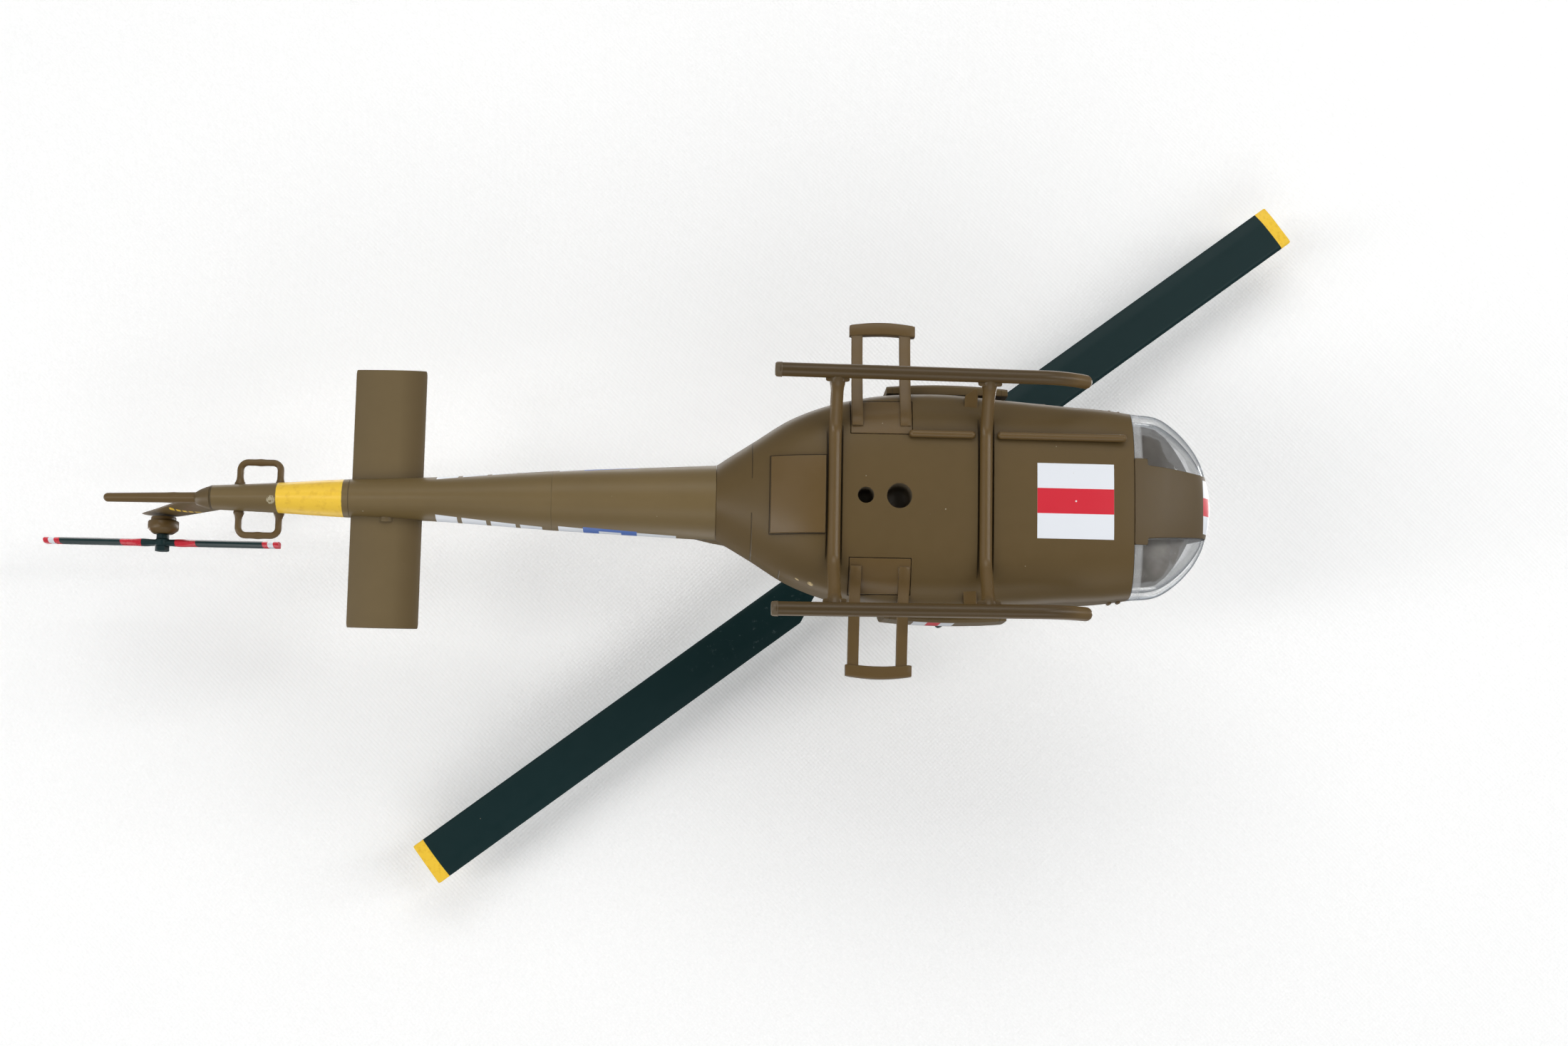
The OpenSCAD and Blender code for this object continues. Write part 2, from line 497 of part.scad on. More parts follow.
// ---- tail rotor
module at_tail() translate([tail_x, 0, tail_z]) children();
module tail_rotor_shaft() color(teal) at_tail() {
    rod_y(1.0, 6.0, tail_shaft_diameter / 2);
    rod_y(1.0, 1.6, 1.3);
    rod_y(3.7, 4.4, 1.0);
}
module tail_rotor_blades() color(teal) at_tail() difference() {
    union() {
        rod_y(tail_y - 0.58, tail_y + 0.58, 1.2);
        for (s = [1, -1]) scale([s, 1, 1]) {
            translate([0, tail_y - 0.45, -0.9]) cube([5, 0.9, 1.8]);
            translate([0, tail_y + 0.45, 0]) rotate([90, 0, 0]) linear_extrude(0.9)
                polygon([[3.4, -0.9], [5.2, -tail_blade_chord / 2], [tail_rotor_radius - 0.4, -tail_blade_chord / 2],
                    [tail_rotor_radius, -tail_blade_chord / 2 + 0.4], [tail_rotor_radius, tail_blade_chord / 2 - 0.4],
                    [tail_rotor_radius - 0.4, tail_blade_chord / 2], [5.2, tail_blade_chord / 2], [3.4, 0.9]]);
        }
    }
    rod_y(0, 9, tail_shaft_diameter / 2 + 0.01);
}
module tail_rotor_nut() color(teal) at_tail() difference() {
    translate([0, 5.6, 0]) rotate([-90, 0, 0]) cylinder(r = 1.15, h = 0.8, $fn = 6);
    rod_y(5, 6.01, tail_shaft_diameter / 2 + 0.01);
}

hull_shell();
tail_boom();
tail_fin();
tail_skid();
elevator_left();
elevator_right();
antenna_loop_left();
antenna_loop_right();
belly_hatch();
belly_antenna_tube();
stand_socket_block();
skid_left();
skid_right();
skid_heel_caps();
cross_tube_front();
cross_tube_rear();
step_tabs();
side_carrier_left();
side_carrier_right();
nose_glazing();
nose_keel_panel();
cockpit_window_left();
cockpit_window_right();
roof_windows();
cabin_floor();
instrument_panel();
pilot_seat_left();
pilot_seat_right();
bench_seat();
rear_bulkhead();
mast_fairing();
engine_cowling();
exhaust_pipe();
mast_bush();
tail_gearbox();
door_rails_left();
door_rails_right();
cockpit_door_handles();
cargo_door_left();
cargo_door_window_left();
cargo_door_right();
cargo_door_window_right();
rotor_mast();
mast_retainer();
rotor_yoke();
main_blade_forward();
main_blade_aft();
blade_bolts();
stabilizer_bar();
mast_nut();
tail_rotor_shaft();
tail_rotor_blades();
tail_rotor_nut();
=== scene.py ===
import math

import bmesh
import bpy
import numpy as np
from mathutils import Matrix, Vector


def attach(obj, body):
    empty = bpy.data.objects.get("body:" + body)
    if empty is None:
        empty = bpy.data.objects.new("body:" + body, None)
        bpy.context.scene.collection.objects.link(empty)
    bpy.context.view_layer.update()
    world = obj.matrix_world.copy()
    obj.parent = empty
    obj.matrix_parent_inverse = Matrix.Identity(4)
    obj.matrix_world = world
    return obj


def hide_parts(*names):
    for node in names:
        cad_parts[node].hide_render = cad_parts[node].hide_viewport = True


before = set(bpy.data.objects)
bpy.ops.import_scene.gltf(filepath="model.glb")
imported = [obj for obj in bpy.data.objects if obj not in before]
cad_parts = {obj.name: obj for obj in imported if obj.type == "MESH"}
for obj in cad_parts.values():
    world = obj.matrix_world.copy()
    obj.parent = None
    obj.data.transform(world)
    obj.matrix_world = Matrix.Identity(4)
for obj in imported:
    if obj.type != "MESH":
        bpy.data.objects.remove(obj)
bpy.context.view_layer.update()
K = 0.001  # millimetres to metres
RS = np.random.RandomState(7)

# ------------------------------------------------------------------ shapes shared with the CAD source, in millimetres
HULL = np.array([
    [-27.20, 5.70, 5.5, 19.3, 12.0, 2.10, 2.2], [-25.30, 6.85, 4.6, 20.5, 11.0, 2.20, 2.3],
    [-21.60, 9.05, 2.9, 22.8, 9.6, 2.40, 2.5], [-16.90, 11.95, 1.2, 25.1, 8.4, 2.70, 2.7],
    [-12.60, 13.75, 0.25, 26.5, 7.6, 2.95, 2.9], [-8.20, 15.00, 0, 27.3, 7.2, 3.10, 3.0],
    [-2.00, 16.10, 0, 27.8, 7.0, 3.20, 3.1], [6.60, 16.45, 0, 28.0, 7.0, 3.30, 3.1],
    [16.30, 15.75, 0, 27.6, 7.0, 3.30, 3.1], [25.40, 15.05, 0, 25.4, 7.0, 3.20, 3.0],
    [31.20, 14.70, 0, 22.0, 7.0, 3.00, 2.8], [36.00, 14.10, 0.15, 18.4, 6.9, 2.80, 2.6],
    [39.50, 13.70, 0.75, 15.6, 6.8, 2.60, 2.5], [42.10, 12.15, 1.9, 13.6, 6.8, 2.50, 2.4],
    [44.60, 9.70, 3.3, 12.0, 6.9, 2.40, 2.3], [46.25, 7.20, 4.5, 10.6, 7.0, 2.30, 2.2],
    [47.10, 4.90, 5.4, 9.3, 7.1, 2.20, 2.2], [47.60, 2.70, 6.1, 8.3, 7.1, 2.10, 2.1],
    [47.75, 1.20, 6.6, 7.7, 7.1, 2.00, 2.0]])
BOOM = np.array([
    [-105.10, 1.85, 15.4, 20.7, 18.0, 2.0, 2.0], [-95.10, 2.30, 13.9, 20.2, 17.1, 2.0, 2.0],
    [-84.70, 2.90, 12.4, 19.6, 16.0, 2.0, 2.0], [-70.00, 3.40, 10.3, 19.1, 14.8, 2.0, 2.1],
    [-51.00, 4.60, 8.0, 19.0, 13.5, 2.1, 2.1], [-35.00, 5.35, 6.2, 19.2, 12.6, 2.1, 2.2],
    [-27.25, 5.70, 5.5, 19.3, 12.0, 2.1, 2.2]])
CONE = np.array([
    [-108.0, 0.72, 18.15, 20.8, 19.5, 2, 2], [-107.6, 1.0, 17.6, 20.95, 19.3, 2, 2],
    [-106.8, 1.35, 16.8, 21.0, 18.8, 2, 2], [-105.15, 1.85, 15.4, 21.1, 18.2, 2, 2]])
COWL = np.array([
    [-30.4, 4.0, 19.6, 28.6, 24.6, 2.4, 2.2], [-27.5, 4.6, 18.5, 29.3, 24.6, 2.5, 2.4],
    [-22, 5.4, 18, 30.3, 24.6, 2.6, 2.6], [-15, 6.1, 18, 31.2, 24.6, 2.8, 2.8], [-8.95, 6.5, 18, 31.7, 24.6, 2.8, 2.8]])
FIN = np.array([
    [20.2, -99.4, -109.2, 1.5], [20.76, -99.8, -109.6, 1.45], [25, -103.1, -112.2, 1.30], [30, -107.0, -115.3, 1.05],
    [35, -110.9, -118.4, 0.82], [37.6, -113.0, -120.1, 0.68], [38.4, -113.9, -120.45, 0.55], [38.95, -115.4, -120.45, 0.25]])
MAST_X, BLADE_Z, REST = -2.2, 47.8, math.radians(-37.0)
TAIL_X, TAIL_Y, TAIL_Z = -116.3, 5.0, 35.9
SKID_Z, CROSS_Z = -4.75, -0.05


def at(t, x):
    """The table's row at x, on the same smooth curve as the CAD source uses."""
    i = int(min(max(np.searchsorted(t[:, 0], x, side="right") - 1, 0), len(t) - 2))
    h = t[i + 1, 0] - t[i, 0]
    u = (x - t[i, 0]) / h

    def slope(j):
        a, b = max(0, j - 1), min(len(t) - 1, j + 1)
        return (t[b] - t[a]) / (t[b, 0] - t[a, 0])

    v, w = u * u, u**3
    return t[i] * (2 * w - 3 * v + 1) + slope(i) * h * (w - 2 * v + u) + t[i + 1] * (3 * v - 2 * w) + slope(i + 1) * h * (w - v)


def ring(v, off=0.0, n=144):
    a = 2 * np.pi * np.arange(n) / n
    c, s = np.cos(a), np.sin(a)
    p = np.where(s >= 0, v[6], v[5])
    q = (np.abs(c) ** p + np.abs(s) ** p + 1e-15) ** (-1 / p)
    h = np.where(s >= 0, v[3] - off - v[4], v[4] - v[2] - off)
    return np.stack([np.full(n, v[0]), (v[1] - off) * c * q, v[4] + h * s * q], 1)


def half_at(v, z, off=0.0):
    up = z >= v[4]
    p = v[6] if up else v[5]
    s = (z - v[4]) / (v[3] - off - v[4]) if up else (v[4] - z) / (v[4] - v[2] - off)
    return (v[1] - off) * max(0.0, 1 - abs(s) ** p) ** (1 / p)


# ------------------------------------------------------------------ mesh tools
def mesh(name, V, F, angle=32):
    """An object from points in millimetres and faces, with outward normals, smooth, sharp over the angle."""
    me = bpy.data.meshes.new(name)
    me.from_pydata([tuple(float(c) * K for c in v) for v in V], [], [tuple(int(i) for i in f) for f in F])
    bm = bmesh.new()
    bm.from_mesh(me)
    bmesh.ops.recalc_face_normals(bm, faces=bm.faces)
    bm.to_mesh(me)
    bm.free()
    me.update()
    o = bpy.data.objects.new(name, me)
    bpy.context.scene.collection.objects.link(o)
    shade(o, angle)
    return o


def shade(o, angle=32):
    me = o.data
    me.polygons.foreach_set("use_smooth", [True] * len(me.polygons))
    me.set_sharp_from_angle(angle=math.radians(angle))
    me.update()


def loft(name, R, caps=True, angle=32):
    """A closed solid through rings of equal length."""
    R = np.asarray(R, float)
    m, n = R.shape[:2]
    i, k = np.meshgrid(np.arange(m - 1), np.arange(n), indexing="ij")
    k1 = (k + 1) % n
    F = np.stack([i * n + k, (i + 1) * n + k, (i + 1) * n + k1, i * n + k1], -1).reshape(-1, 4).tolist()
    if caps:
        F += [list(range(n)), list(range((m - 1) * n, m * n))]
    return mesh(name, R.reshape(-1, 3), F, angle)


def body_solid(name, table, off, x0, x1, step, n=144, nose=False):
    xs = list(np.arange(x0, min(x1, 36.0 if nose else x1) - 1e-6, step))
    if nose and x1 > 36:
        a = np.linspace(0, np.pi / 2, 44)
        xs += [x for x in 36 + 11.75 * np.sin(a) if x0 < x < x1 - 0.02]
    xs.append(x1)
    return loft(name, [ring(at(table, x), off, n) for x in xs])


def prism(name, poly, a0, a1, axis):
    """A drawing pushed along an axis. poly is in the two other axes: (y, z), (x, z) or (x, y)."""
    V = []
    for d in (a0, a1):
        for p in poly:
            V.append((d, p[0], p[1]) if axis == "x" else (p[0], d, p[1]) if axis == "y" else (p[0], p[1], d))
    n = len(poly)
    return mesh(name, V, [list(range(n)), list(range(n, 2 * n))] + [[i, (i + 1) % n, n + (i + 1) % n, n + i] for i in range(n)])


def cube(x0, x1, y0, y1, z0, z1):
    return prism("c", [(y0, z0), (y1, z0), (y1, z1), (y0, z1)], x0, x1, "x")


def frames(P):
    """Parallel-carried frames along a path."""
    P = np.asarray(P, float)
    T = np.gradient(P, axis=0)
    T /= np.linalg.norm(T, axis=1)[:, None]
    up = np.array([0, 0, 1.0]) if abs(T[0][2]) < 0.9 else np.array([0, 1.0, 0])
    N = [np.cross(up, T[0])]
    N[0] /= np.linalg.norm(N[0])
    for t in T[1:]:
        v = N[-1] - (N[-1] @ t) * t
        N.append(v / np.linalg.norm(v))
    N = np.array(N)
    return P, T, N, np.cross(T, N)


def sweep(name, P, r, n=32, angle=40, flat=1.0):
    """A round bar along a path, with one radius or one per point, rounded off at both ends by the radii given."""
    P, T, N, B = frames(P)
    r = np.full(len(P), float(r)) if np.isscalar(r) else np.asarray(r, float)
    a = 2 * np.pi * np.arange(n) / n
    R = P[:, None] + r[:, None, None] * (np.cos(a)[None, :, None] * N[:, None] + flat * np.sin(a)[None, :, None] * B[:, None])
    return loft(name, R, True, angle)


def capsule(p0, p1, r, k=7, m=2):
    """Path and radii of a straight rod with round ends."""
    p0, p1 = np.array(p0, float), np.array(p1, float)
    L = np.linalg.norm(p1 - p0)
    d = (p1 - p0) / L
    a = np.linspace(0, np.pi / 2, k)
    s = np.concatenate([r * (1 - np.cos(a)), np.linspace(r, L - r, m + 2)[1:-1], L - r * (1 - np.cos(a[::-1]))])
    rad = np.concatenate([r * np.maximum(np.sin(a), 0.04), np.full(m, r), r * np.maximum(np.sin(a[::-1]), 0.04)])
    return p0 + s[:, None] * d, rad


def lathe(name, prof, origin, axis, n=64, angle=32, closed=True):
    """A turned solid: prof is (radius, height) from one end to the other, about an axis."""
    ax = np.array(axis, float)
    ax /= np.linalg.norm(ax)
    u = np.cross(ax, [0, 0, 1.0] if abs(ax[2]) < 0.9 else [1.0, 0, 0])
    u /= np.linalg.norm(u)
    w = np.cross(ax, u)
    a = 2 * np.pi * np.arange(n) / n
    d = np.cos(a)[:, None] * u + np.sin(a)[:, None] * w
    R = [np.array(origin) + h * ax + max(r, 0.004) * d for r, h in prof]
    return loft(name, R, closed, angle)


def take(o, tools, op):
    for t in tools:
        m = o.modifiers.new("cut", "BOOLEAN")
        m.object, m.operation, m.solver = t, op, "MANIFOLD"
    dg = bpy.context.evaluated_depsgraph_get()
    dg.update()
    me = bpy.data.meshes.new_from_object(o.evaluated_get(dg))
    o.modifiers.clear()
    old = o.data
    o.data = me
    bpy.data.meshes.remove(old)
    for t in tools:
        d = t.data
        bpy.data.objects.remove(t)
        bpy.data.meshes.remove(d)
    shade(o)
    return o


def minus(o, *tools):
    return take(o, tools, "DIFFERENCE")


def meet(o, *tools):
    return take(o, tools, "INTERSECT")


def join(name, *objs):
    """One object from several."""
    bm = bmesh.new()
    for o in objs:
        bm.from_mesh(o.data)
    me = bpy.data.meshes.new(name)
    bm.to_mesh(me)
    bm.free()
    for o in objs:
        d = o.data
        bpy.data.objects.remove(o)
        bpy.data.meshes.remove(d)
    o = bpy.data.objects.new(name, me)
    bpy.context.scene.collection.objects.link(o)
    return o


def flipped(o, name):
    """The mirror image across the centre plane."""
    me = o.data.copy()
    n = bpy.data.objects.new(name, me)
    bpy.context.scene.collection.objects.link(n)
    bm = bmesh.new()
    bm.from_mesh(me)
    for v in bm.verts:
        v.co.y = -v.co.y
    bmesh.ops.reverse_faces(bm, faces=bm.faces)
    bm.to_mesh(me)
    bm.free()
    me.update()
    for m in o.modifiers:
        if m.type == "BEVEL":
            soften(n, m.width / K, m.segments)
    return n


def turned(o, centre, degrees, axis="Z"):
    M = Matrix.Translation(Vector(centre) * K) @ Matrix.Rotation(math.radians(degrees), 4, axis) @ Matrix.Translation(-Vector(centre) * K)
    o.data.transform(M)
    return o


def soften(o, width, segments=3, angle=35):
    m = o.modifiers.new("edge", "BEVEL")
    m.width, m.segments, m.limit_method, m.angle_limit = width * K, segments, "ANGLE", math.radians(angle)
    m.harden_normals = False
    return o


def finish(o, name, mat, body, nodes=()):
    """Names the piece, paints it, sets it on its body and hides the CAD nodes it stands for."""
    o.name = name
    o.data.name = name
    o.data.materials.clear()
    o.data.materials.append(mat)
    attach(o, body)
    if nodes:
        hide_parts(*nodes)
    return o


def hull_part(off, x0=-27.2, x1=47.75, step=0.5, n=144):
    return body_solid("h", HULL, off, x0, x1, step, n, nose=True)


def both(f):
    a = f()
    b = flipped(a, "m")
    return a, b


# ------------------------------------------------------------------ node materials
class S:
    """A value in a node tree that can be added, multiplied and compared. Lengths in the masks are millimetres."""

    def __init__(self, t, s):
        self.t, self.s = t, s

    def __add__(self, o): return op(self.t, "ADD", self, o)
    def __radd__(self, o): return op(self.t, "ADD", self, o)
    def __sub__(self, o): return op(self.t, "SUBTRACT", self, o)
    def __rsub__(self, o): return op(self.t, "SUBTRACT", o, self)
    def __mul__(self, o): return op(self.t, "MULTIPLY", self, o)
    def __rmul__(self, o): return op(self.t, "MULTIPLY", self, o)
    def __truediv__(self, o): return op(self.t, "DIVIDE", self, o)
    def __pow__(self, o): return op(self.t, "POWER", self, o)
    def abs(self): return op(self.t, "ABSOLUTE", self)
    def sq(self): return self * self
    def sqrt(self): return op(self.t, "SQRT", self)
    def clamp(self):
        n = self.t.nodes.new("ShaderNodeClamp")
        self.t.links.new(self.s, n.inputs[0])
        return S(self.t, n.outputs[0])
    def max(self, o): return op(self.t, "MAXIMUM", self, o)
    def min(self, o): return op(self.t, "MINIMUM", self, o)
    def inv(self): return 1.0 - self
    def over(self, e, w=0.03):
        """0 below e, 1 above it."""
        return ((self - e) * (1.0 / w) + 0.5).clamp()
    def within(self, a, b, w=0.03): return self.over(a, w) * self.over(b, w).inv()
    def line(self, e, half=0.07, w=0.05): return (self - e).abs().over(half, w).inv()


def op(t, kind, *a):
    n = t.nodes.new("ShaderNodeMath")
    n.operation = kind
    for i, v in enumerate(a):
        if isinstance(v, S):
            t.links.new(v.s, n.inputs[i])
        else:
            n.inputs[i].default_value = v
    return S(t, n.outputs[0])


def lin(c):
    """sRGB 0-255 to linear colour with alpha."""
    v = [x / 255 for x in c]
    return tuple(x / 12.92 if x <= 0.04045 else ((x + 0.055) / 1.055) ** 2.4 for x in v) + (1.0,)


class Mat:
    """A material under construction: coordinates in millimetres at rest, noises and a colour that masks paint over."""

    def __init__(self, name):
        self.m = bpy.data.materials.new(name)
        self.m.use_nodes = True
        self.t = self.m.node_tree
        self.t.nodes.clear()
        tc = self.node("ShaderNodeTexCoord")
        mul = self.node("ShaderNodeVectorMath")
        mul.operation = "SCALE"
        mul.inputs["Scale"].default_value = 1000.0
        self.t.links.new(tc.outputs["Object"], mul.inputs[0])
        self.p = mul.outputs[0]
        sep = self.node("ShaderNodeSeparateXYZ")
        self.t.links.new(self.p, sep.inputs[0])
        self.x, self.y, self.z = (S(self.t, sep.outputs[i]) for i in range(3))
        self.ay = self.y.abs()
        g = self.node("ShaderNodeNewGeometry")
        self.geo = g
        gn = self.node("ShaderNodeSeparateXYZ")
        self.t.links.new(g.outputs["True Normal"], gn.inputs[0])
        self.nx, self.ny, self.nz = (S(self.t, gn.outputs[i]) for i in range(3))
        self.color = None

    def node(self, kind):
        return self.t.nodes.new(kind)

    def noise(self, scale, detail=3.0, rough=0.55, stretch=None):
        n = self.node("ShaderNodeTexNoise")
        n.inputs["Scale"].default_value = scale
        n.inputs["Detail"].default_value = detail
        n.inputs["Roughness"].default_value = rough
        src = self.p
        if stretch:
            v = self.node("ShaderNodeVectorMath")
            v.operation = "MULTIPLY"
            self.t.links.new(self.p, v.inputs[0])
            v.inputs[1].default_value = stretch
            src = v.outputs[0]
        self.t.links.new(src, n.inputs["Vector"])
        return S(self.t, n.outputs["Fac"])

    def specks(self, scale, share, radius):
        """Scattered dots: one possible dot in each cell of the size 1/scale, kept in a share of the cells."""
        v = self.node("ShaderNodeTexVoronoi")
        v.inputs["Scale"].default_value = scale
        self.t.links.new(self.p, v.inputs["Vector"])
        s = self.node("ShaderNodeSeparateColor")
        self.t.links.new(v.outputs["Color"], s.inputs[0])
        d, r, g = S(self.t, v.outputs["Distance"]), S(self.t, s.outputs[0]), S(self.t, s.outputs[1])
        rad = (g * 0.9 + 0.35) * (radius * scale)
        return (1.0 - d / rad).over(0.0, 0.5) * r.over(1 - share, 0.001)

    def rgb(self, c):
        n = self.node("ShaderNodeRGB")
        n.outputs[0].default_value = lin(c) if max(c[:3]) > 1.5 else tuple(c[:3]) + (1.0,)
        return n.outputs[0]

    def paint(self, c, mask):
        """Lays a colour over what is there, where the mask is 1."""
        c = self.rgb(c) if isinstance(c, tuple) else c
        if self.color is None:
            self.color = c
            return
        n = self.node("ShaderNodeMix")
        n.data_type = "RGBA"
        if isinstance(mask, S):
            self.t.links.new(mask.s, n.inputs["Factor"])
        else:
            n.inputs["Factor"].default_value = mask
        self.t.links.new(self.color, n.inputs[6])
        self.t.links.new(c, n.inputs[7])
        self.color = n.outputs[2]

    def shade(self, f):
        """Multiplies the colour by a value."""
        n = self.node("ShaderNodeVectorMath")
        n.operation = "SCALE"
        self.t.links.new(self.color, n.inputs[0])
        self.t.links.new(f.s, n.inputs["Scale"])
        self.color = n.outputs[0]

    def ao(self, distance=1.6, samples=4):
        n = self.node("ShaderNodeAmbientOcclusion")
        n.samples = samples
        n.inputs["Distance"].default_value = distance * K
        return S(self.t, n.outputs["AO"])

    def round_normal(self, radius):
        n = self.node("ShaderNodeBevel")
        n.samples = 4
        n.inputs["Radius"].default_value = radius * K
        return n.outputs[0]

    def edge(self, normal, gain=5.0):
        """1 on edges, from how far the rounded normal leans away from the face."""
        d = self.node("ShaderNodeVectorMath")
        d.operation = "DOT_PRODUCT"
        self.t.links.new(normal, d.inputs[0])
        self.t.links.new(self.geo.outputs["Normal"], d.inputs[1])
        return ((1.0 - S(self.t, d.outputs["Value"])) * gain).clamp()

    def bump(self, height, normal=None, strength=1.0, distance=0.1):
        n = self.node("ShaderNodeBump")
        n.inputs["Strength"].default_value = strength
        n.inputs["Distance"].default_value = distance * K
        self.t.links.new(height.s, n.inputs["Height"])
        if normal is not None:
            self.t.links.new(normal, n.inputs["Normal"])
        return n.outputs[0]

    def done(self, rough, normal=None, spec=0.5, coat=0.0, metal=0.0):
        b = self.node("ShaderNodeBsdfPrincipled")
        self.t.links.new(self.color, b.inputs["Base Color"])
        if isinstance(rough, S):
            self.t.links.new(rough.s, b.inputs["Roughness"])
        else:
            b.inputs["Roughness"].default_value = rough
        b.inputs["Metallic"].default_value = metal
        if isinstance(spec, S):
            self.t.links.new(spec.s, b.inputs["Specular IOR Level"])
        else:
            b.inputs["Specular IOR Level"].default_value = spec
        if coat:
            b.inputs["Coat Weight"].default_value = coat
            b.inputs["Coat Roughness"].default_value = 0.3
        if normal is not None:
            self.t.links.new(normal, b.inputs["Normal"])
        o = self.node("ShaderNodeOutputMaterial")
        self.t.links.new(b.outputs[0], o.inputs[0])
        self.m.diffuse_color = (0.3, 0.25, 0.16, 1)
        return self.m


OLIVE = (98, 79, 44)
WHITE, RED, YELLOW, BLUE = (239, 243, 250), (218, 40, 58), (255, 210, 66), (70, 110, 190)


def painted(name, base, decals=None, panel=None, wear=0.55, rough=0.44, speck=1.0, lead=None, grain=1.0, spec=0.42):
    """Semi-matt model paint over moulded plastic: mottled colour, fine grain, dust specks, rubbed edges and painted
    shade in corners.
    """
    m = Mat(name)
    m.paint(base, 1)
    big, mid, fine = m.noise(0.07, 3), m.noise(0.6, 4, 0.6), m.noise(9.0, 3, 0.6)
    m.shade(0.93 + big * 0.16 + (mid - 0.5) * 0.10 + (fine - 0.5) * 0.06)
    if lead:
        lead(m)
    grooves = panel(m) if panel else None
    if grooves is not None:
        m.shade(1.0 - grooves * 0.55)
    plain = None
    if decals:
        plain = decals(m)
    rn = m.round_normal(0.16)
    edge = m.edge(rn, 3.2)
    rub = edge * (m.noise(0.9, 5, 0.65).over(0.56, 0.2)) * wear
    m.paint(tuple(min(255, int(c * 1.35 + 14)) for c in base), rub.clamp())
    # painted shade: the colour darkens in corners, creases and between parts, following ambient occlusion
    m.shade(0.52 + m.ao(1.5) * 0.48)
    dots = m.specks(0.42, 0.16 * speck, 0.11)
    m.paint((188, 176, 150), dots * 0.75)
    m.paint((38, 30, 22), m.specks(0.31, 0.07 * speck, 0.07) * 0.7)
    scr = m.noise(0.5, 2, 0.5, (1.0, 9.0, 4.0)).over(0.80, 0.05) * 0.12
    m.paint(tuple(min(255, int(c * 1.3 + 10)) for c in base), scr.clamp())
    h = fine * (0.035 * grain) + m.noise(2.2, 4, 0.6) * (0.05 * grain) + m.noise(0.35, 2) * 0.10
    if grooves is not None:
        h = h - grooves * 0.9
    h = h + dots * 0.3
    r = rough + (mid - 0.5) * 0.16 + (fine - 0.5) * 0.08
    if plain is not None:
        r = r - plain * 0.10
        h = h + plain * 0.12
    return m.done(r.clamp(), m.bump(h, rn, 1.0, 0.12), spec)


def hull_decals(m):
    belly = m.z.over(1.3, 0.05).inv()
    yy = (m.y - 0.25).abs()
    sq = m.x.within(20.6, 32.1) * yy.over(5.67).inv() * belly
    m.paint(WHITE, sq)
    m.paint(RED, sq * yy.over(1.9).inv())
    m.paint((240, 240, 240), ((m.x - 26.4).sq() + yy.sq()).sqrt().over(0.13, 0.08).inv() * belly)
    side = m.ay.over(9.5)
    # lost flakes of paint low on the left flank
    chips = m.y.over(9) * (((m.x + 12.9).sq() + (m.z - 4.1).sq()).sqrt().over(0.42, 0.1).inv()).max(((m.x + 14.9).sq() + (m.z - 4.6).sq() * 3).sqrt().over(0.3, 0.1).inv())
    m.paint((196, 172, 122), chips * m.noise(2.5).over(0.42, 0.1))
    # short dark dashes by the boom root
    dash = m.y.over(3.5) * m.x.within(-27.2, -25.4) * m.z.within(12.6, 14.0) * ((m.x + 26.3).abs().over(0.12, 0.04))
    m.paint((40, 38, 36), dash)
    return sq


def hull_panels(m):
    side = m.ay.over(10.5, 0.4)
    door = side * ((m.x.line(20.0) + m.x.line(-17.6) * 0.7) * m.z.within(5.3, 22.2) + m.z.line(5.3) * m.x.within(20.0, 35.0)
                   + (m.z - 22.2).abs().over(0.06, 0.05).inv() * m.x.within(20.0, 28.6))
    rear = m.x.line(-21.9, 0.06) * m.ay.over(2.6) * 0.8
    belly = m.z.over(6.0, 0.1).inv() * (m.ay.line(5.9, 0.09) * m.x.within(-19.3, -10.9) + m.x.line(-19.25, 0.06) * m.ay.over(5.9).inv())
    lid = m.z.over(15.5) * (m.x.line(18.4) * m.ay.over(11.5).inv() + m.x.line(27.0) * 0.0)
    return (door + rear + belly + lid).clamp()


def boom_decals(m):
    wob = (m.noise(1.8, 3) - 0.5) * 0.16
    band = (m.x + wob).within(-94.65, -84.4, 0.05)
    m.paint(YELLOW, band)
    m.paint((214, 160, 40), band * m.noise(0.9, 4).over(0.60, 0.2) * 0.35)
    m.paint((120, 96, 62), band * m.noise(3.2, 3, 0.7).over(0.74, 0.03))
    flake = ((m.x + 95.4).sq() + (m.y - 0.7).sq() + (m.noise(2.0) - 0.5) * 0.3).sqrt().over(0.62, 0.12).inv() * m.z.over(15.3).inv()
    m.paint((176, 166, 138), flake * m.noise(3.0, 3).over(0.47, 0.06))
    side = m.ay.over(1.9, 0.05) * m.z.over(10.6, 0.05)
    blocks = m.x.within(-70.0, -53.7) * m.z.within(12.1, 15.6)
    gaps = m.x.line(-66.35, 0.35).max(m.x.line(-61.9, 0.35)).max(m.x.line(-57.4, 0.35))
    word = side * blocks * gaps.inv()
    bars = m.ay.over(1.9, 0.05) * m.x.within(-51.2, -33.2) * m.z.within(11.2, 14.9)
    blue = side * m.x.within(-47.4, -39.2) * m.z.within(10.7, 16.4)
    m.paint(WHITE, word.max(bars))
    m.paint(BLUE, blue)
    m.paint(WHITE, side * m.x.within(-45.0, -41.6) * m.z.within(11.8, 15.1))
    tiny = m.ay.over(3.0) * m.x.within(-30.4, -27.4) * m.z.within(12.5, 14.1) * m.x.line(-29.4, 0.15).max(m.x.line(-28.4, 0.15)).inv()
    m.paint((42, 40, 38), tiny)
    return band.max(word).max(bars).max(blue)


def boom_panels(m):
    return (m.x.line(-83.4, 0.05) * 0.6 + m.x.line(-52.2, 0.04) * 0.35 + m.x.line(-104.95, 0.10)).clamp()


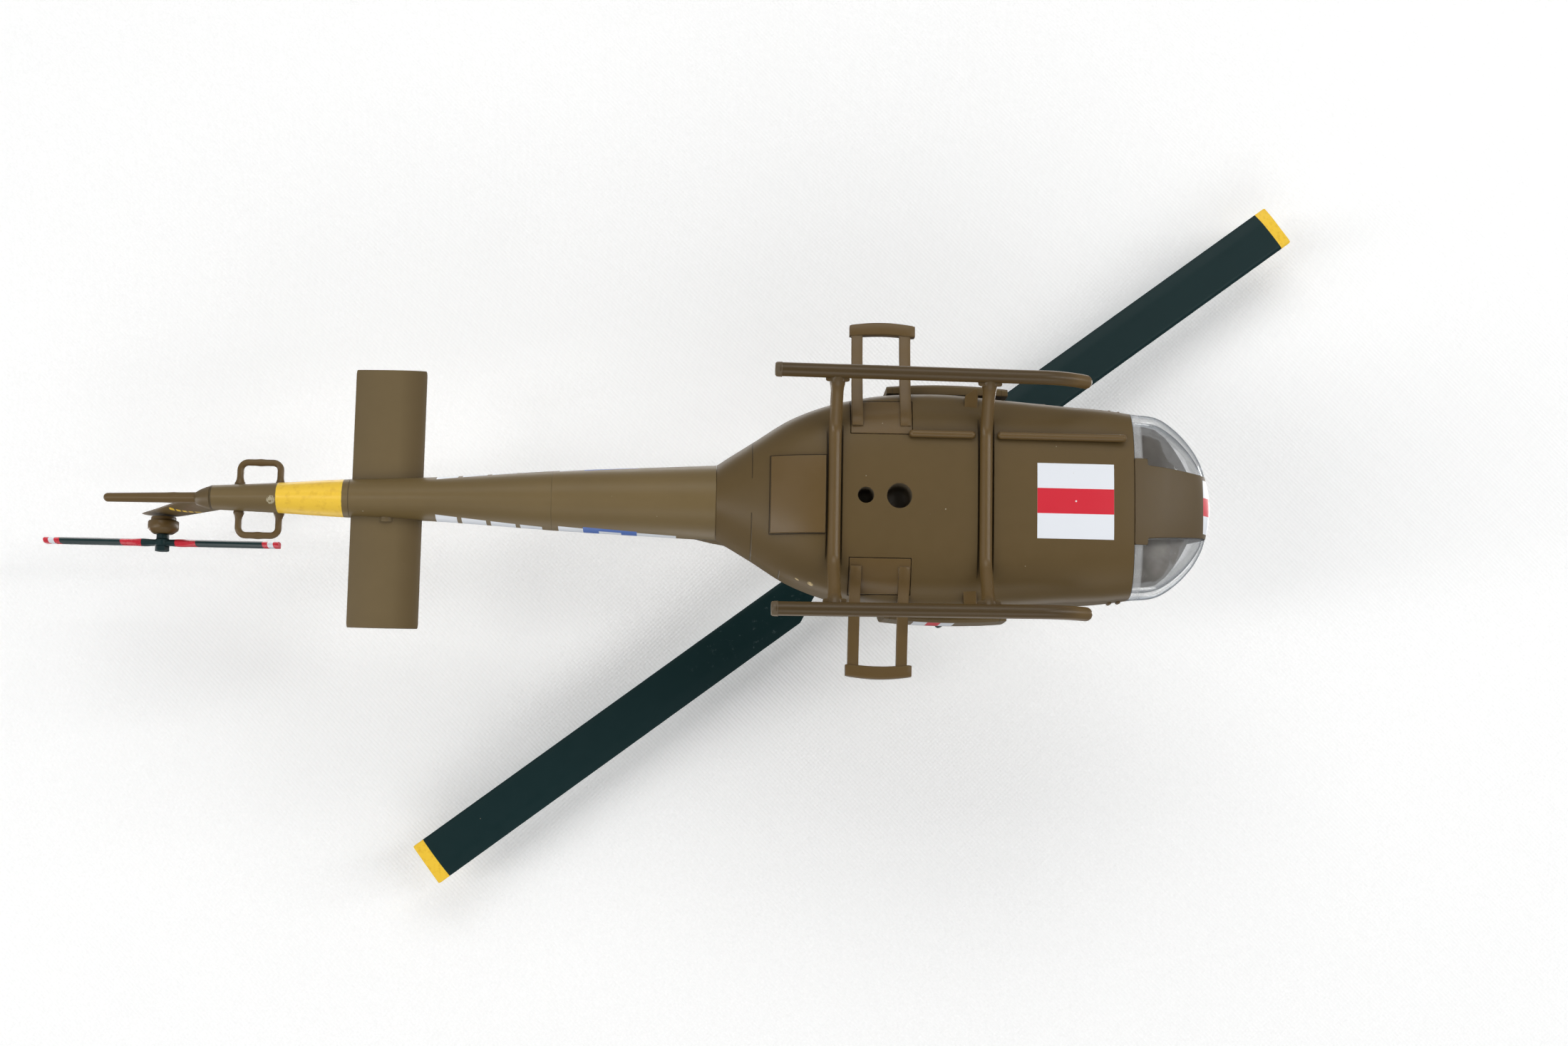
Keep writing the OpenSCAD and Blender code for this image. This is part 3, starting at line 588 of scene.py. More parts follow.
def fin_decals(m):
    run = m.y.over(0.3) * m.z.within(28.3, 29.7) * m.x.within(-114.0, -108.9)
    gaps = m.x.line(-113.0, 0.16).max(m.x.line(-112.0, 0.16)).max(m.x.line(-111.0, 0.16)).max(m.x.line(-110.0, 0.16))
    m.paint(YELLOW, run * gaps.inv())
    return run * gaps.inv()


def keel_decals(m):
    sq = m.ay.over(4.1).inv() * m.z.over(10.6).inv() * m.x.over(46.45)
    m.paint(WHITE, sq)
    m.paint(RED, sq * m.ay.over(1.38).inv())
    return sq


def door_decals(m):
    sq = m.x.within(2.9, 9.1) * m.z.within(7.1, 12.5) * m.ay.over(17.0)
    m.paint(WHITE, sq)
    m.paint(RED, sq * m.x.within(5.0, 7.0))
    return sq


def door_panels(m):
    return (m.ay.over(16.2, 0.2) * (m.z.line(7.2, 0.05) * m.x.within(-1.0, 16.3) + m.x.line(15.9, 0.05) + m.x.line(-0.7, 0.05)) * 0.5).clamp()


def wing_painted_shading(m):
    # painted shading across the chord: lighter in the middle, darker towards both edges, and darker and yellower
    # towards the front
    u = (m.x + 77.75) * (1 / 5.45)
    m.shade(1.05 - u.sq() * 0.16)
    m.paint((84, 66, 32), m.x.over(-74.6, 3.4) * 0.7)


def floor_reflection_and_mottle(m):
    # painted reflection: a light glossy patch on the left of the floor; the darker mottling after it is the floor's own
    # uneven tone
    painted_reflection = m.y.within(3.6, 9.6, 4.0) * m.x.within(37.6, 43.6, 3.6) * (m.noise(0.35, 3) * 0.9 + 0.2)
    m.paint((205, 200, 194), (painted_reflection * 0.8).clamp())
    # the floor's own uneven tone: darker mottling
    m.paint((66, 60, 54), m.noise(0.28, 3).over(0.56, 0.25) * 0.35)


def cowl_panels(m):
    seams = m.x.line(-18.2, 0.06) + m.x.line(-26.0, 0.06) + m.z.line(29.2, 0.05) * m.ay.over(3.5) * m.x.over(-8.5).inv()
    slots = m.ay.over(4.6, 0.2) * m.z.within(25.4, 28.4) * m.x.within(-16.6, -10.4) * op(m.t, "PINGPONG", m.x, 0.4).over(0.2, 0.08)
    return (seams + slots).clamp()


def blade_marks(m):
    d = ((m.x - MAST_X).sq() + m.y.sq()).sqrt()
    tip = d.over(88.45, 0.06)
    m.paint(YELLOW, tip)
    m.paint((225, 165, 40), tip * m.noise(1.5).over(0.6, 0.2) * 0.4)
    scuff = m.noise(0.9, 5, 0.75, (1.0, 1.0, 0.2)).over(0.66, 0.1) * d.within(15, 34, 8) * m.y.over(3, 4) * 0.35
    m.paint((120, 132, 134), scuff)
    return tip


def tail_marks(m):
    x = m.x - TAIL_X
    ax = x.abs()
    reds = x.within(-6.5, -3.3).max(x.within(2.1, 5.5)).max(ax.over(16.2))
    m.paint(RED, reds)
    m.paint(WHITE, ax.within(17.05, 17.95))
    return reds


def clear_plastic(name, tint=(0.93, 0.945, 0.95), rim=(0.30, 0.33, 0.35), power=3.2, scratch=1.0, haze=0.03, flange=False, mirror=1.0):
    """Thick clear moulding: see-through, with painted shade where it is seen edge on, reflections, dust, rub scratches
    and a painted highlight along its edges.
    """
    m = Mat(name)
    lw = m.node("ShaderNodeLayerWeight")
    lw.inputs["Blend"].default_value = 0.5
    f = S(m.t, lw.outputs["Facing"]) ** power
    m.paint(tint, 1)
    # painted shade: the see-through colour darkens where the wall is seen edge on, standing in for light bent in the
    # thick plastic
    m.paint(rim, f.clamp())
    m.shade(0.97 + m.noise(0.5, 3) * 0.05)
    if flange:
        # painted shade: a grey band along its outline, with a thin dark edge, where the thick wall is seen edge on
        front = 1.0 - S(m.t, m.geo.outputs["Backfacing"])
        facing = S(m.t, lw.outputs["Facing"])
        m.paint((0.42, 0.46, 0.50), facing.over(0.62, 0.26) * front * 0.85)
        m.paint((0.10, 0.13, 0.16), facing.over(0.94, 0.07) * front * 0.8)
    tr = m.node("ShaderNodeBsdfTransparent")
    m.t.links.new(m.color, tr.inputs[0])
    gl = m.node("ShaderNodeBsdfGlossy")
    gl.inputs["Roughness"].default_value = 0.06
    rn = m.round_normal(0.18)
    bump = m.bump(m.noise(0.18, 2) * 1.4 + m.noise(1.1, 3) * 0.10 + m.noise(7.0, 3) * 0.012, rn, 1.0, 0.25)
    m.t.links.new(bump, gl.inputs["Normal"])
    fr = m.node("ShaderNodeFresnel")
    fr.inputs["IOR"].default_value = 1.49
    m.t.links.new(bump, fr.inputs["Normal"])
    mix = m.node("ShaderNodeMixShader")
    m.t.links.new((S(m.t, fr.outputs[0]) * mirror).clamp().s, mix.inputs[0])
    m.t.links.new(tr.outputs[0], mix.inputs[1])
    m.t.links.new(gl.outputs[0], mix.inputs[2])
    df = m.node("ShaderNodeBsdfDiffuse")
    df.inputs[0].default_value = (0.75, 0.76, 0.77, 1)
    # dust, scratches and haze, plus a painted highlight along the sharp edges (the edge term)
    dust_scratches_and_edge_glint = (m.noise(0.8, 4, 0.7, (1.0, 6.0, 2.0)).over(0.72, 0.08) * 0.14 * scratch + m.specks(0.5, 0.2, 0.07) * 0.6 + m.edge(rn, 1.4) * (0.10 if flange else 0.35) + haze)
    if flange:
        dust_scratches_and_edge_glint = dust_scratches_and_edge_glint + (m.x + (m.z - 10.5).max(0.0) * 0.5217).within(34.9, 36.5, 0.12) * (0.16 + m.noise(0.7, 3) * 0.22)
    dust_scratches_and_edge_glint = dust_scratches_and_edge_glint.clamp()
    mix2 = m.node("ShaderNodeMixShader")
    m.t.links.new(dust_scratches_and_edge_glint.s, mix2.inputs[0])
    m.t.links.new(mix.outputs[0], mix2.inputs[1])
    m.t.links.new(df.outputs[0], mix2.inputs[2])
    o = m.node("ShaderNodeOutputMaterial")
    m.t.links.new(mix2.outputs[0], o.inputs[0])
    return m.m


# ------------------------------------------------------------------ materials
M_HULL = painted("olive_hull", (95, 76, 42), hull_decals, hull_panels, spec=0.34)
M_BOOM = painted("olive_boom", (114, 95, 58), boom_decals, boom_panels)
M_FIN = painted("olive_fin", OLIVE, fin_decals)
M_KEEL = painted("olive_keel", (92, 76, 50), keel_decals, spec=0.34)
M_DOOR = painted("olive_door", OLIVE, door_decals, door_panels)
M_PAINT = painted("olive_fittings", (101, 79, 43), wear=0.7, rough=0.36)
M_ELEV = painted("olive_elevators", (107, 90, 58), lead=wing_painted_shading, wear=0.6)
M_CAP = painted("olive_heel_caps", (122, 104, 78), wear=0.8)
M_COWL = painted("olive_cowling", OLIVE, panel=cowl_panels)
M_SOCKET = painted("socket_lining", (100, 90, 75), wear=0.2, speck=1.5)
M_BLADE = painted("teal_blade", (10, 40, 42), blade_marks, wear=0.3, rough=0.42, speck=0.9, grain=0.9, spec=0.22)
M_TEAL = painted("teal_parts", (12, 42, 44), wear=0.4, rough=0.38, spec=0.3)
M_TAIL = painted("teal_tail_rotor", (10, 44, 46), tail_marks, wear=0.3, rough=0.38, spec=0.3)
M_EXHAUST = painted("exhaust_grey", (82, 76, 70), wear=0.8, rough=0.5)
M_FLOOR = painted("cabin_grey", (104, 98, 90), wear=0.4, rough=0.34, lead=floor_reflection_and_mottle)
M_SEAT = painted("seat_plastic", (84, 78, 62), wear=0.4, rough=0.6)
M_PANEL = painted("panel_black", (34, 34, 35), wear=0.4, rough=0.5)
M_CLEAR = clear_plastic("clear_plastic", tint=(0.99, 0.993, 0.996), rim=(0.34, 0.38, 0.43), power=8.0, scratch=0.7, haze=0.006, flange=True, mirror=0.42)
M_WINDOW = clear_plastic("window_plastic", power=2.2)
M_GREEN = clear_plastic("green_plastic", tint=(0.30, 0.62, 0.40), rim=(0.08, 0.20, 0.12), power=1.6)

A = "airframe"

# ------------------------------------------------------------------ hull


def nose_area(d=0.0):
    return prism("n", [(35.2 + d, -3), (60, -3), (60, 40), (26.8 + d, 40), (26.8 + d, 26.6), (35.2 + d, 10.5)], -30, 30, "y")


def keel_poly(d=0.0):
    return [(35.26 + 0 * d, -6.5 - d), (37.25 + d, -6.5 - d), (37.25 + d, -5.5 - d), (47, -4.7 - d), (52, -4.3 - d),
            (52, 4.3 + d), (47, 4.7 + d), (37.25 + d, 5.5 + d), (37.25 + d, 6.5 + d), (35.26 + 0 * d, 6.5 + d)]


def round_poly(pts, r, k=5):
    """The drawing with its corners rounded."""
    out = []
    n = len(pts)
    for i in range(n):
        p, a, b = (np.array(pts[j % n], float) for j in (i, i - 1, i + 1))
        u, v = (a - p) / np.linalg.norm(a - p), (b - p) / np.linalg.norm(b - p)
        ang = math.acos(max(-1, min(1, u @ v)))
        t = min(r / math.tan(ang / 2), np.linalg.norm(a - p) * 0.45, np.linalg.norm(b - p) * 0.45)
        rr = t * math.tan(ang / 2)
        c = p + (u + v) / np.linalg.norm(u + v) * rr / math.sin(ang / 2)
        s0, s1 = p + u * t - c, p + v * t - c
        a0 = math.atan2(s0[1], s0[0])
        da = (math.atan2(s1[1], s1[0]) - a0 + math.pi) % (2 * math.pi) - math.pi
        out += [tuple(c + rr * np.array([math.cos(a0 + da * j / k), math.sin(a0 + da * j / k)])) for j in range(k + 1)]
    return out


def shrink(poly, d):
    """Moves the sides of a drawing inwards by d."""
    P = np.array(poly, float)
    area = 0.5 * sum(P[i][0] * P[(i + 1) % len(P)][1] - P[(i + 1) % len(P)][0] * P[i][1] for i in range(len(P)))
    s = 1 if area > 0 else -1
    out = []
    for i in range(len(P)):
        a, p, b = P[i - 1], P[i], P[(i + 1) % len(P)]
        e0, e1 = (p - a) / np.linalg.norm(p - a), (b - p) / np.linalg.norm(b - p)
        n0, n1 = np.array([-e0[1], e0[0]]) * s, np.array([-e1[1], e1[0]]) * s
        k = d / max(0.2, 1 + n0 @ n1)
        out.append(tuple(p + (n0 + n1) * k))
    return out


COCKPIT = [(22.9, 11.3), (34.0, 11.3), (34.0, 12.0), (28.8, 21.3), (22.9, 21.3)]
LIGHT = [(2.4, 13.2), (13.2, 13.2), (13.2, 21.0), (2.4, 21.0)]
ROOF = [(20.4, 2.2), (26.2, 2.2), (26.2, 9.2), (20.4, 9.2)]


def two_sided(f):
    a = f(1)
    b = f(-1)
    return [a, b]


def side_prism(poly, s, y0=8, y1=30):
    return prism("s", poly, y0 * s, y1 * s, "y") if s > 0 else prism("s", poly, -y1, -y0, "y")


def roof_prism(poly, s, z0=15, z1=35):
    return prism("r", [(x, s * y) for x, y in poly], z0, z1, "z")


hull = hull_part(0)
hull = minus(hull, hull_part(1.5, -25.0, 46.6, 1.2, 96), nose_area())
hull = minus(hull, *two_sided(lambda s: side_prism(round_poly(COCKPIT, 0.9), s)))
hull = minus(hull, *two_sided(lambda s: side_prism(round_poly([(0.4, 6.9), (15.2, 6.9), (15.2, 21.8), (0.4, 21.8)], 0.8), s, 11, 20)))
hull = minus(hull, *two_sided(lambda s: roof_prism(round_poly(ROOF, 0.8), s)))
hull = minus(hull, *[cube(x - 1.2, x + 1.2, -20, 20, -2, 0.95) for x in (12.9, -9.7)])
for s in (1, -1):
    y0, y1 = (9.29, 14.66) if s > 0 else (-14.66, -9.29)
    skin = meet(hull_part(-1.0, -9, 4, 0.8, 144), cube(-7.41, 1.91, y0, y1, -1, 6.1))
    skin = minus(skin, hull_part(0.8, -10, 5, 0.8, 144))
    hull = minus(hull, skin)
hull = minus(hull, lathe("b", [(1.88, -1), (1.88, 8)], (0, 0, 0), (0, 0, 1), 64), lathe("b", [(1.22, -1), (1.22, 8)], (-5, 0, 0), (0, 0, 1), 64))
finish(hull, "hull_shell_paint", M_HULL, A, ["hull_shell"])

# stand sockets: turned linings with a soft lip and a rounded bottom
sockets = []
for x, r, d in ((0.0, 1.85, 5.2), (-5.0, 1.2, 4.5)):
    prof = [(r + 0.5, 5.78), (r + 0.5, 0.03), (r + 0.12, 0.02), (r + 0.05, 0.05), (r, 0.16), (r, d - 0.9), (r - 0.12, d - 0.45), (r - 0.4, d - 0.15), (r - 0.8, d), (0.0, d), (0.0, d + 0.02), (r * 0.5, d + 0.06)]
    ring_prof = [(r + 0.5, 5.78), (r + 0.5, 0.03), (r + 0.12, 0.02), (r + 0.05, 0.05), (r, 0.16), (r, d - 0.9), (r - 0.12, d - 0.45), (r - 0.4, d - 0.15), (r - 0.8, d - 0.02), (0.004, d)]
    sockets.append(lathe("k", ring_prof, (x, 0, 0), (0, 0, 1), 72, 40))
o = join("stand_socket_linings", *sockets)
shade(o, 40)
finish(o, "stand_socket_linings", M_SOCKET, A, ["stand_socket_block"])

# tail boom
boom = body_solid("b", BOOM, 0, -105.1, -27.25, 0.9, 96)
finish(boom, "tail_boom_paint", M_BOOM, A, ["tail_boom"])


def fin_ring(v, n=40):
    u = (1 - np.cos(np.pi * np.arange(n + 1) / n)) / 2
    th = v[3] * np.maximum(1.32 * np.sqrt(np.clip(u, 0, 1)) * (1 - u) ** 0.75 * 1.22 + 0.10 * (1 - (2 * u - 1) ** 8), 0)
    x = v[1] + (v[2] - v[1]) * u
    top = np.stack([x, th, np.full(n + 1, v[0])], 1)
    bot = np.stack([x[1:-1], -th[1:-1], np.full(n - 1, v[0])], 1)[::-1]
    return np.concatenate([top, bot])


zs = np.concatenate([np.linspace(20.2, 37.6, 40), np.linspace(37.8, 38.95, 9)])
fin = loft("f", [fin_ring(at(FIN, z)) for z in zs])
cone = loft("c", [ring(at(CONE, x), 0, 72) for x in np.concatenate([np.linspace(-108.0, -107.3, 8), np.linspace(-107.1, -105.15, 14)])])
finish(take(fin, [cone], "UNION"), "tail_fin_paint", M_FIN, A, ["tail_fin"])

# tail skid: slightly bulged rod with a round end
ax = np.array([-math.cos(math.radians(6.9)), 0, math.sin(math.radians(6.9))])
s = np.linspace(0, 1, 30)
rad = 0.86 - 0.16 * s + 0.05 * np.exp(-((s - 0.28) / 0.05) ** 2)
P = np.array([-107.3, 0, 18.7]) + (s * 14.4)[:, None] * ax
a = np.linspace(0, np.pi / 2, 8)[1:]
P = np.concatenate([P, P[-1] + (0.7 * np.sin(a))[:, None] * ax])
rad = np.concatenate([rad, 0.70 * np.maximum(np.cos(a), 0.05)])
finish(sweep("t", P, rad, 36), "tail_skid_rod", M_PAINT, A, ["tail_skid"])

# elevators: thin wing sections with rounded tips


def elevator(side):
    def section(y, k):
        n = 28
        u = (1 - np.cos(np.pi * np.arange(n + 1) / n)) / 2
        c = 10.9 * k
        th = 0.74 * (2.6 * np.sqrt(u) * (1 - u) ** 0.8 * 0.62 + 0.16) * (0.35 + 0.65 * k)
        th[0] = 0.10
        th[-1] = 0.13
        x = -72.3 - (10.9 - c) / 2 - c * u
        top = np.stack([x, np.full(n + 1, y), 15.1 + th], 1)
        bot = np.stack([x, np.full(n + 1, y), 15.1 - th], 1)[::-1]
        return np.concatenate([top, bot])
    ys = list(np.linspace(2.4, 19.0, 17)) + [20.0 - 0.9 * (1 - math.sin(t)) for t in np.linspace(0.1, 1.57, 7)]
    ks = [1.0] * 17 + [1 - 0.03 * (1 - math.cos(t)) for t in np.linspace(0.1, 1.57, 7)]
    wing = loft("e", [section(y, k) for y, k in zip(ys, ks)], True, 40)
    root = sweep("r", *capsule((-77.7, 2.2, 15.1), (-77.7, 4.0, 15.1), 0.55), 24)
    boss = sweep("r", *capsule((-77.7, 2.7, 14.7), (-77.7, 3.75, 14.7), 1.0), 28, flat=0.7)
    if side < 0:
        bpy.data.objects.remove(boss)
        o = join("e", wing, root)
    else:
        o = join("e", wing, root, boss)
    shade(o, 40)
    if side < 0:
        f = flipped(o, "e2")
        bpy.data.objects.remove(o)
        return f
    return o


finish(elevator(1), "elevator_wing_left", M_ELEV, A, ["elevator_left"])
finish(elevator(-1), "elevator_wing_right", M_ELEV, A, ["elevator_right"])

# antenna loops: bent rod with swollen feet


def loop():
    c = []
    c += [(-101.0, y, 18.7) for y in np.linspace(1.9, 4.5, 10)]
    c += [(-99.8 - 1.2 * math.cos(t), 4.5 + 1.2 * math.sin(t), 18.7) for t in np.linspace(0.12, 1.57, 9)]
    c += [(x, 5.7, 18.7) for x in np.linspace(-99.5, -96.3, 12)]
    c += [(-96.0 + 1.2 * math.sin(t), 4.5 + 1.2 * math.cos(t), 18.7) for t in np.linspace(0.0, 1.45, 9)]
    c += [(-94.8, y, 18.7) for y in np.linspace(4.5, 1.9, 10)]
    c = np.array(c)
    r = 0.52 + 0.34 * np.exp(-((c[:, 1] - 2.2) / 0.55) ** 2) + 0.07 * np.exp(-(((c[:, 0] + 97.9) / 0.5) ** 2)) * (c[:, 1] > 5.5)
    return sweep("l", c, r, 24)


l1, l2 = both(loop)
shade(l2)
finish(l1, "antenna_loop_rod_left", M_PAINT, A, ["antenna_loop_left"])
finish(l2, "antenna_loop_rod_right", M_PAINT, A, ["antenna_loop_right"])

# belly hatch and belly tube
hatch = meet(hull_part(-0.45, -20, -9, 0.5, 160), cube(-19.1, -11.02, -5.8, 5.8, -3, 6))
hatch = minus(hatch, hull_part(0.3, -21, -8, 0.5, 160))
finish(hatch, "belly_hatch_plate", M_PAINT, A, ["belly_hatch"])
tubes = [sweep("t", *capsule((x0, -9.4, -0.12), (x1, -9.4, -0.12), 0.58, 8, 20), 28) for x0, x1 in ((1.3, 11.3), (14.5, 34.0))]
o = join("t", *tubes)
shade(o, 50)
finish(o, "belly_tube_rods", M_PAINT, A, ["belly_antenna_tube"])

# skids, heel caps and cross tubes


def on_skid(o, side):
    o.data.transform(Matrix.Translation(Vector((0, side * 17.6, SKID_Z)) * K) @ Matrix.Rotation(math.radians(-side * 0.45), 4, "Z"))
    return o


def skid(side):
    c = [(x, 0, 0) for x in np.linspace(-18.3, 20.6, 60)]
    c += [(20.6 + 11 * math.sin(t), 0, 11 - 11 * math.cos(t)) for t in np.linspace(0.03, math.radians(38), 26)]
    c = np.array(c)
    d = c[-1] - c[-2]
    d /= np.linalg.norm(d)
    a = np.linspace(0, np.pi / 2, 9)[1:]
    r = np.full(len(c), 1.05)
    c = np.concatenate([c, c[-1] + (1.05 * np.sin(a))[:, None] * d])
    r = np.concatenate([r, 1.05 * np.maximum(np.cos(a), 0.05)])
    return on_skid(sweep("s", c, r, 40), side)


finish(skid(1), "skid_tube_left", M_PAINT, A, ["skid_left"])
finish(skid(-1), "skid_tube_right", M_PAINT, A, ["skid_right"])
caps = []
for s in (1, -1):
    prof = [(0.5, -19.0), (0.92, -18.97), (1.07, -18.8), (1.12, -18.5), (1.12, -18.15), (1.16, -17.98), (0.9, -17.9)]
    caps.append(on_skid(lathe("c", prof, (0, 0, 0.08), (1, 0, 0), 36, 40), s))
o = join("c", *caps)
shade(o, 40)
finish(o, "skid_heel_cap_mouldings", M_CAP, A, ["skid_heel_caps"])


def cross(x):
    ys = []
    t = math.radians(32)
    R = 4.2
    c = [(x, y, CROSS_Z) for y in np.linspace(0, 10.2 - R * math.tan(t / 2), 16)]
    y0 = 10.2 - R * math.tan(t / 2)
    c += [(x, y0 + R * math.sin(a), CROSS_Z - R * (1 - math.cos(a))) for a in np.linspace(0.05, t, 10)]
    c += [(x, 10.2 + math.cos(t) * s, CROSS_Z - math.sin(t) * s) for s in np.linspace(R * math.tan(t / 2) + 0.3, 8.3, 14)]
    c = np.array(c)
    c = np.concatenate([c[:0:-1] * [1, -1, 1], c])
    r = 0.95 + 0.22 * np.exp(-((np.abs(c[:, 1]) - 16.3) / 0.7) ** 2)
    tube = sweep("x", c, r, 40)
    parts = [tube]
    for s in (1, -1):
        prof = [(1.06, -1.75), (1.2, -1.7), (1.3, -1.5), (1.33, -1.2), (1.33, 1.2), (1.3, 1.5), (1.2, 1.7), (1.06, 1.75)]
        sad = lathe("s", prof, (x, -0.27 * s, 0), (1, 0, 0), 48, 40)
        on_skid(sad, s)
        sad = minus(sad, on_skid(cube(x - 5, x + 5, -5, 5, -5, -0.02), s))
        parts.append(sad)
    o = join("x", *parts)
    shade(o, 38)
    return o


finish(cross(12.9), "cross_tube_front_bend", M_PAINT, A, ["cross_tube_front"])
finish(cross(-9.7), "cross_tube_rear_bend", M_PAINT, A, ["cross_tube_rear"])

# step tabs
tab = minus(prism("t", round_poly([(9.7, 13.4), (9.9, 15.7), (11.5, 16.9), (11.8, 16.5), (11.7, 12.6)], 0.35), 1.7, 3.1, "z"), hull_part(0.15, 2, 20, 1.0, 96))
tab2 = flipped(tab, "t2")
o = join("t", tab, tab2)
shade(o, 35)
finish(o, "step_tab_plates", M_PAINT, A, ["step_tabs"])

# ------------------------------------------------------------------ side carriers


def carrier():
    plate = meet(hull_part(-0.02, -9, 4, 0.4, 160), cube(-7.30, 1.80, 9.40, 14.55, -1, 6))
    plate = minus(plate, hull_part(0.74, -10, 5, 0.8, 96))
    parts = [plate]
    for x in (-7.2, 0.05):
        low = [(10.6, 0.35), (12.2, 0.72), (14.0, 1.45), (16.5, 2.30), (19.5, 3.05), (22.5, 3.62), (25.9, 4.05)]
        high = [(25.9, 5.15), (22.5, 4.72), (19.5, 4.15), (16.5, 3.45), (14.0, 2.75), (12.2, 2.35), (10.6, 2.0)]
        arm = prism("a", low + high, x, x + 1.65, "x")
        arm = minus(arm, hull_part(0.35, -12, 8, 0.8, 96))
        parts.append(soften(arm, 0.16, 2, 50))
    bar = []
    for u in np.linspace(0, 1, 25):
        w = 0.9 + 0.1 * min(1, min(u, 1 - u) / 0.06) ** 0.5
        xx, bow = -7.5 + 9.9 * u, 0.42 * math.sin(math.pi * u)
        y0, y1 = 26.1 - 1.25 * w + bow * 0.8, 26.1 + 0.55 * w + bow
        z0, z1 = 4.72 - 0.98 * w, 4.72 + 0.98 * w
        q = round_poly([(y0, z0), (y1, z0 + 0.12), (y1, z1 - 0.12), (y0, z1)], 0.22, 3)
        bar.append([(xx, y, z) for y, z in q])
    parts.append(loft("b", bar, True, 40))
    for x in (-6.4, 0.85):
        parts.append(lathe("g", [(0.02, -0.32), (0.42, -0.28), (0.5, -0.1), (0.5, 0.3)], (x, 24.87, 4.6), (0, 1, 0), 20, 40))
    for x in (-7.0, 1.9):
        parts.append(sweep("n", *capsule((x, 26.55, 4.1), (x, 26.7, 4.1), 0.07), 10))
    return parts


def bake(o):
    """The object's modifiers applied to its mesh."""
    if o.modifiers:
        dg = bpy.context.evaluated_depsgraph_get()
        dg.update()
        me = bpy.data.meshes.new_from_object(o.evaluated_get(dg))
        o.modifiers.clear()
        o.data = me
    return o


cl = join("c", *[bake(p) for p in carrier()])
shade(cl, 35)
cr = flipped(cl, "c2")
shade(cr, 35)
finish(cl, "side_carrier_frame_left", M_PAINT, A, ["side_carrier_left"])
finish(cr, "side_carrier_frame_right", M_PAINT, A, ["side_carrier_right"])

# ------------------------------------------------------------------ nose and windows
inner = lambda: hull_part(1.1, 24, 46.55, 0.6, 144)
glass = meet(hull_part(0, 25, 47.75, 0.4, 176), nose_area(0.08))
glass = minus(glass, inner(), prism("k", keel_poly(0.04), -2, 11.45, "z"))
finish(glass, "nose_glazing_shell", M_CLEAR, A, ["nose_glazing"])
keel = meet(hull_part(-0.13, 30, 47.75 + 0.1, 0.4, 176), prism("k", round_poly(keel_poly(), 0.25, 3), -2, 11.4, "z"), )
keel = minus(keel, hull_part(1.1, 24, 46.55, 0.6, 144))
finish(keel, "nose_keel_plate", M_KEEL, A, ["nose_keel_panel"])


def pane(poly, s, out=0.22, inn=1.05):
    g = meet(hull_part(out, 18, 37, 0.5, 160), side_prism(round_poly(poly, 0.8), s))
    return minus(g, hull_part(inn, 17, 38, 1.0, 96))


for s, side in ((1, "left"), (-1, "right")):
    finish(pane(shrink(COCKPIT, 0.05), s), f"cockpit_window_pane_{side}", M_WINDOW, A, [f"cockpit_window_{side}"])
panes = []
for s in (1, -1):
    g = meet(hull_part(0.22, 18, 28, 0.5, 160), roof_prism(round_poly(shrink(ROOF, 0.05), 0.75), s))
    panes.append(minus(g, hull_part(1.05, 17, 29, 1.0, 96)))
o = join("r", *panes)
shade(o)
finish(o, "roof_window_panes", M_GREEN, A, ["roof_windows"])

# ------------------------------------------------------------------ roof: fairing, cowling, exhaust, bush


def hull_of(points):
    bm = bmesh.new()
    for p in points:
        bm.verts.new(Vector(p) * K)
    bmesh.ops.convex_hull(bm, input=bm.verts)
    bmesh.ops.delete(bm, geom=[v for v in bm.verts if not v.link_faces], context="VERTS")
    me = bpy.data.meshes.new("h")
    bm.to_mesh(me)
    bm.free()
    o = bpy.data.objects.new("h", me)
    bpy.context.scene.collection.objects.link(o)
    return o


pts = []
for x, r0, r1, z in ((12.5, 3.0, 2.5, 27.9), (4.0, 6.2, 5.5, 30.0), (-4.0, 6.6, 5.9, 32.0), (MAST_X, 6.4, 4.2, 34.0)):
    for j in range(56):
        t = 2 * math.pi * j / 56
        pts.append((x + r0 * math.cos(t), r0 * math.sin(t), 24))
        for b in np.linspace(0, 1, 5):
            zz = z - 0.9 * (1 - math.sin(b * math.pi / 2))
            rr = r1 + (0.45 if x != MAST_X else 0.3) * math.cos(b * math.pi / 2) + (0.0 if x != MAST_X else 0.3)
            pts.append((x + rr * math.cos(t), rr * math.sin(t), zz))
fairing = hull_of(pts)
fairing = minus(fairing, hull_part(0.2, -14, 22, 0.8, 96), cube(-22.9, -8.9, -10, 10, 20, 40), lathe("m", [(2.3, 20), (2.3, 40)], (MAST_X, 0, 0), (0, 0, 1), 48))
shade(fairing, 30)
finish(fairing, "mast_fairing_cover", M_COWL, A, ["mast_fairing"])
cowl = body_solid("c", COWL, 0, -30.4, -8.95, 0.6, 120)
cowl = minus(cowl, hull_part(0.15, -27.3, 0, 0.8, 96), body_solid("b", BOOM, 0.15, -40, -27.2, 1.0, 72))
finish(cowl, "engine_cowling_cover", M_COWL, A, ["engine_cowling"])
prof = [(2.2, 0.0), (3.15, 0.02), (3.25, 1.0), (3.45, 5.0), (3.65, 5.25), (3.68, 5.6), (3.55, 5.8), (3.2, 5.8), (3.0, 5.4), (2.8, 3.0), (2.6, 1.0), (2.2, 0.9), (0.004, 0.85)]
ex = lathe("x", prof, (-30.72, 0, 24.9), (-math.cos(math.radians(5)), 0, math.sin(math.radians(5))), 72, 40)
finish(ex, "exhaust_pipe_turned", M_EXHAUST, A, ["exhaust_pipe"])
